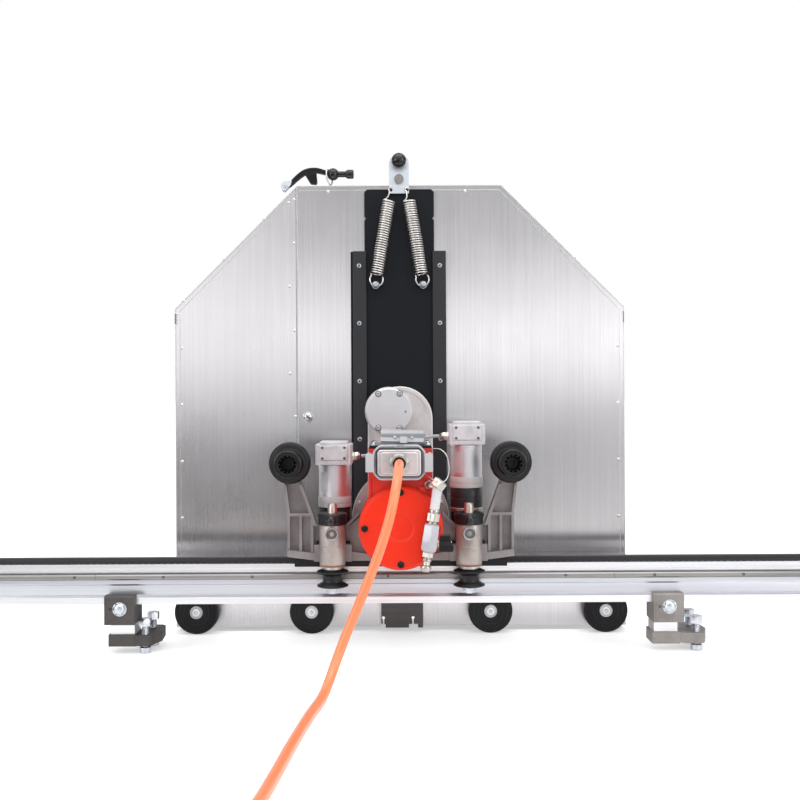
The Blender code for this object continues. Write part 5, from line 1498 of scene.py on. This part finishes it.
def build_guard_back():
    """Rivets, ring-shaped swage and blank plate of the back panel."""
    spots = [(x, 222.4, z) for x in (-440, 440) for z in (80, 250, 420, 590)]
    spots += [(x, 222.4, 915) for x in (-180, 0, 180)]
    spots += [(sign * (GUARD_HALF - 36 - 13 - k * 75), 222.4, 683 - 14 + k * 75) for sign in (-1, 1)
        for k in range(1, 4)]
    placed("back_rivets", lambda: rivet(8), spots, (0, 1, 0), "stainless_trim", "guard")
    ring = [(96, 222.3), (99, 222.3), (99, 223.3), (98.2, 223.8), (96.8, 223.8), (96, 223.3)]
    swage = turned("back_swage", ring, "Y", (0, 0, BLADE_Z), 128)
    dress(swage, "stainless_trim", "guard")
    plate = prism("rating_plate", [(300, 560), (420, 560), (420, 620), (300, 620)], "Y", 222.3, 223)
    dress(bevelled(plate, 0.3, 2), "pale", "guard")


def build_plough():
    """Thin bright strips at both sides of the block under the slot."""
    strips = [block("strip", (x, GUARD_FRONT - 0.8, 16.5), (x + 4, GUARD_FRONT + 0.2, 60))
        for x in (-50, 46.8)]
    dress(bevelled(merged("plough_strips", strips), 0.3, 2), "stainless_trim", "guard")


def build_guides():
    """Slider plate, hatched guide bars with their screws, a black strip beside the left bar as its painted
    shadow, and the spring studs.
    """
    soften("slider_plate", "black_plate", 0.6, 2)
    spots = []
    for side, sign in (("left", -1), ("right", 1)):
        soften("guide_bar_" + side, "bars", 0.8, 2)
        spots += [(sign * 85, 98, z) for z in (771, 650, 528, 406, 284)]
    placed("bar_screws", lambda: flat_screw(9), spots, FRONT, "zinc", "guard")
    # A black strip beside the left bar: the bar's painted shadow on the guard.
    ledge = block("bar_shadow_strip", (-103, 108.5, 255), (-98.2, 112.3, 802))
    dress(bevelled(ledge, 0.6, 2), "black_plate", "guard")
    eyes = []
    for sign in (-1, 1):
        eyes.append(turned_to(cap_screw(12, 4, 5.5), (sign * 50, 88.2, 730), FRONT))
        eyes.append(turned_to(turned("w", [(3, 0), (8, 0), (8, 1.2), (3, 1.2)], "Z", ORIGIN, 40),
            (sign * 50, 95.5, 730), FRONT))
        eyes.append(turned("stud", [(0, 88), (3.4, 88), (3.4, 106), (0, 106)], "Y", (sign * 50, 0, 730), 32))
    dress(merged("spring_studs", eyes), "zinc", "slider")


def spring_points(side):
    """Extension spring: a wide open loop round the stud, the coil, and a small hook in the bracket."""
    low = Vector((side * 50, 90, 730))
    high = Vector((side * 17, 90, 930.5))
    line = (high - low).normalized()
    across = line.cross(Vector((0, 1, 0))).normalized()
    front = across.cross(line)
    turns, around, reach, loop = 31, 18, 13.1, 13.8
    points = []
    for i in range(31):
        angle = radians(-213 + 245 * i / 30)
        points.append(low + line * (11 + loop * sin(angle)) + across * (loop * cos(angle)))
    start = low + line * 21.5
    length = (high - low).length - 47
    for i in range(turns * around + 1):
        angle = 2 * pi * i / around
        points.append(start + line * (length * i / (turns * around))
            + (across * cos(angle) + front * sin(angle)) * reach)
    points.append(high - line * 22 + across * 7)
    points.append(high - line * 16 + across * 3)
    points.append(high - line * 9 + across * 2)
    for i in range(15):
        angle = radians(-60 + 240 * i / 14)
        swing = min(1, i / 7)
        points.append(high + (line * sin(angle) + across * cos(angle)) * 4.6 + Vector((0, 8 * swing, 0)))
    return points


def build_springs():
    """Both springs stretch between the slider's studs and the bracket on the guard."""
    for name, side in (("spring_left", -1), ("spring_right", 1)):
        coil = tube_mesh(name + "_fine", spring_points(side), 1.6, 3)
        coil.data.materials.clear()
        coil.data.materials.append(MATERIALS["spring"])
        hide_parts(name)
        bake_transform(coil, "slider", "guard", start=Vector((side * 50.0, 90.0, 735.6)) * MM,
            end=Vector((side * 17, 90, 930.5)) * MM)


def build_studs():
    """Zinc screws in the slider's studs, inside the springs' lower loops."""
    placed("spring_studs", lambda: hex_head(9.6, 3.6, 11.4), [(-50, 84.1, 730), (50, 84.1, 730)], FRONT,
        "zinc", "slider")


def build_bracket():
    """Zinc bracket with its bolts, top pin, and the black lock knob."""
    soften("spring_bracket", "bracket", 0.8, 2)
    placed("bracket_foot_bolts", lambda: hex_head(10, 4, 14), [(-11, 134, 949), (11, 134, 949)], UP, "zinc",
        "guard")
    pin = [(0, 91.6), (9, 91.6), (9.8, 92.4), (9.8, 98), (0, 98)]
    dress(turned("bracket_pin", pin, "Y", (0, 0, 953), 64), "pin_end", "guard")
    knob = [(0, 72), (4.5, 72.5), (8.6, 74), (12, 76.6), (14.3, 79.8), (15.4, 83.6), (15.4, 87.6),
        (14.3, 91.2), (11.4, 94.2), (7.4, 95.6), (7.4, 97.2), (4.9, 97.4), (4.9, 118), (0, 118)]
    knob_piece = turned("lock_plunger_fine", knob, "Y", (0, 0, PLUNGER_Z), 72)
    dress(knob_piece, "grip", "plunger", nodes=("lock_plunger",))
    two_tone(knob_piece, "turned", lambda c: c.y > 97)
    sleeve = [(5.8, 97.4), (9, 97.4), (9, 98.3), (5.8, 98.3)]
    dress(turned("plunger_sleeve", sleeve, "Y", (0, 0, PLUNGER_Z), 48), "zinc", "guard")


def build_wheels():
    """Rubber wheels with a moulded lip, grey hub and its screw."""
    for index in range(1, 5):
        node = "guard_wheel_%d" % index
        body = "wheel_%d" % index
        c = middle(node)
        c.y = 0
        tyre = [(13, 80.6), (40, 80.6), (40.6, 80.2), (43.6, 80.4), (45.4, 82), (46, 84.5), (46, 103.5),
            (45.4, 106), (43.6, 107.6), (13, 108)]
        dress(turned(node + "_fine", tyre, "Y", c, 128), "rubber", body, nodes=(node,))
        rings = [turned("ring", [(r, 80), (r + 0.7, 80), (r + 0.7, 80.8), (r, 80.8)], "Y", c, 96)
            for r in (17, 26, 35)]
        dress(merged("wheel_rings_%d" % index, rings), "rubber", body)
        hub = [(0, 79), (4.2, 79), (4.6, 77.6), (8.5, 77.2), (12.4, 77.6), (13.2, 79), (13.6, 80.8),
            (13.6, 108), (11.6, 108.6), (11.6, 112), (0, 112)]
        dress(turned("wheel_hub_%d" % index, hub, "Y", c, 96), "pale", body)
        washer = turned("wheel_washer_%d" % index, [(0, 76.4), (7.2, 76.4), (7.8, 77), (7.8, 79.6),
            (0, 79.6)], "Y", c, 48)
        dress(washer, "bright", body)
        bolt = turned_to(hex_head(8, 3.4), (c.x, 76.6, c.z), FRONT)
        dress(bolt, "zinc", body).name = "wheel_screw_%d" % index


def build_latch():
    """Toggle clamp on the left shoulder: zinc hinge, bowed ribbed arm, stop, ring, ball and grip."""
    hinge = [(-253, 941), (-246, 940.5), (-234, 953.5), (-231.5, 961.5), (-236, 964), (-245.5, 962.8)]
    hinge = hinge + arc(-245.5, 952.3, 10.5, 95, 225, 10)
    dress(bevelled(prism("latch_hinge", hinge, "Y", 157, 160.4), 0.8, 2), "bracket", "latch",
        nodes=("latch_lever",))
    dress(bevelled(prism("latch_hinge_back", hinge, "Y", 171.6, 175), 0.8, 2), "bracket", "latch")
    pin = turned("latch_pin", [(0, 155.5), (3.5, 155.5), (4, 156), (4, 176), (3.5, 176.5), (0, 176.5)], "Y",
        (-245.5, 0, 951), 40)
    dress(pin, "turned", "latch")
    spine = smooth_route([(-240, 166, 952), (-234, 166, 957), (-216, 166, 973.5), (-200, 166, 983.2),
        (-180, 166, 985.6), (-160, 166, 981), (-146, 166, 978)], 3)
    verts, faces = [], []
    for i, point in enumerate(spine):
        ahead = spine[min(i + 1, len(spine) - 1)] - spine[max(i - 1, 0)]
        side = Vector((-ahead.z, 0, ahead.x)).normalized()
        deep = 4.4 + 1.6 * sin(pi * i / (len(spine) - 1))
        for a, b in ((-1, -5.5), (1, -5.5), (1, 5.5), (-1, 5.5)):
            verts.append(point + side * (a * deep) + Vector((0, b, 0)))
    for i in range(len(spine) - 1):
        for k in range(4):
            j = (k + 1) % 4
            faces.append((4 * i + k, 4 * i + j, 4 * i + 4 + j, 4 * i + 4 + k))
    faces += [(0, 1, 2, 3), tuple(len(verts) - 4 + k for k in range(4))]
    dress(bevelled(mesh_object("latch_arm", verts, faces), 1.6, 4, 40), "grip", "latch")
    ribs = []
    for offset in (-2.6, 0, 2.6):
        path = []
        for i, point in enumerate(spine):
            ahead = spine[min(i + 1, len(spine) - 1)] - spine[max(i - 1, 0)]
            side = Vector((-ahead.z, 0, ahead.x)).normalized()
            path.append(point + side * offset + Vector((0, -5.4, 0)))
        ribs.append(tube_mesh("rib", path, 0.7, 3))
    dress(merged("latch_ribs", ribs), "rubber", "latch")
    stop = [(-203.5, 976), (-191, 955.5), (-178.5, 954.5), (-176.5, 959), (-178.5, 981)]
    dress(bevelled(prism("latch_stop", stop, "Y", 161.4, 170.6), 1.5, 3), "grip", "latch")
    build_latch_grip()


def build_latch_grip():
    """Zinc ring, ball, neck and cupped end at the free end of the latch."""
    ring = []
    for i in range(49):
        angle = 2 * pi * i / 48
        ring.append(Vector((-151 + 5 * cos(angle) - 2.5 * sin(angle), 166 + 12 * cos(angle),
            971 + 16.5 * sin(angle))))
    dress(tube_mesh("latch_ring", ring, 1.7, 3), "zinc", "latch")
    ball = [(0, -156)] + [(13.2 * sin(radians(a)), -142.8 - 13.2 * cos(radians(a)))
        for a in range(12, 150, 12)]
    ball += [(6.4, -131.4), (6.4, -115.6), (9, -113), (9.7, -110.5), (9.7, -100), (8.6, -98.2), (7.4, -98.2),
        (7, -100.2), (0, -100.6)]
    grip = turned("latch_grip", ball, "X", (0, 166, 977.4), 64)
    dress(grip, "grip", "latch")
    two_tone(grip, "hood", lambda c: c.x > -101.5 and (c.z - 977.4) ** 2 + (c.y - 166) ** 2 < 49)


build_rail()
# The left foot takes the darker copy as painted shade, the right foot the lighter copy as painted light.
build_foot("left", -540, -502, "phosphated")
build_foot("right", 513, 571, "foot_lit")
build_carriage()
build_motor()
build_terminal_cover()
build_connector()
build_water_line()
build_arm()
build_blade()
build_guard()
build_guides()
build_springs()
build_studs()
build_bracket()
build_wheels()
build_latch()
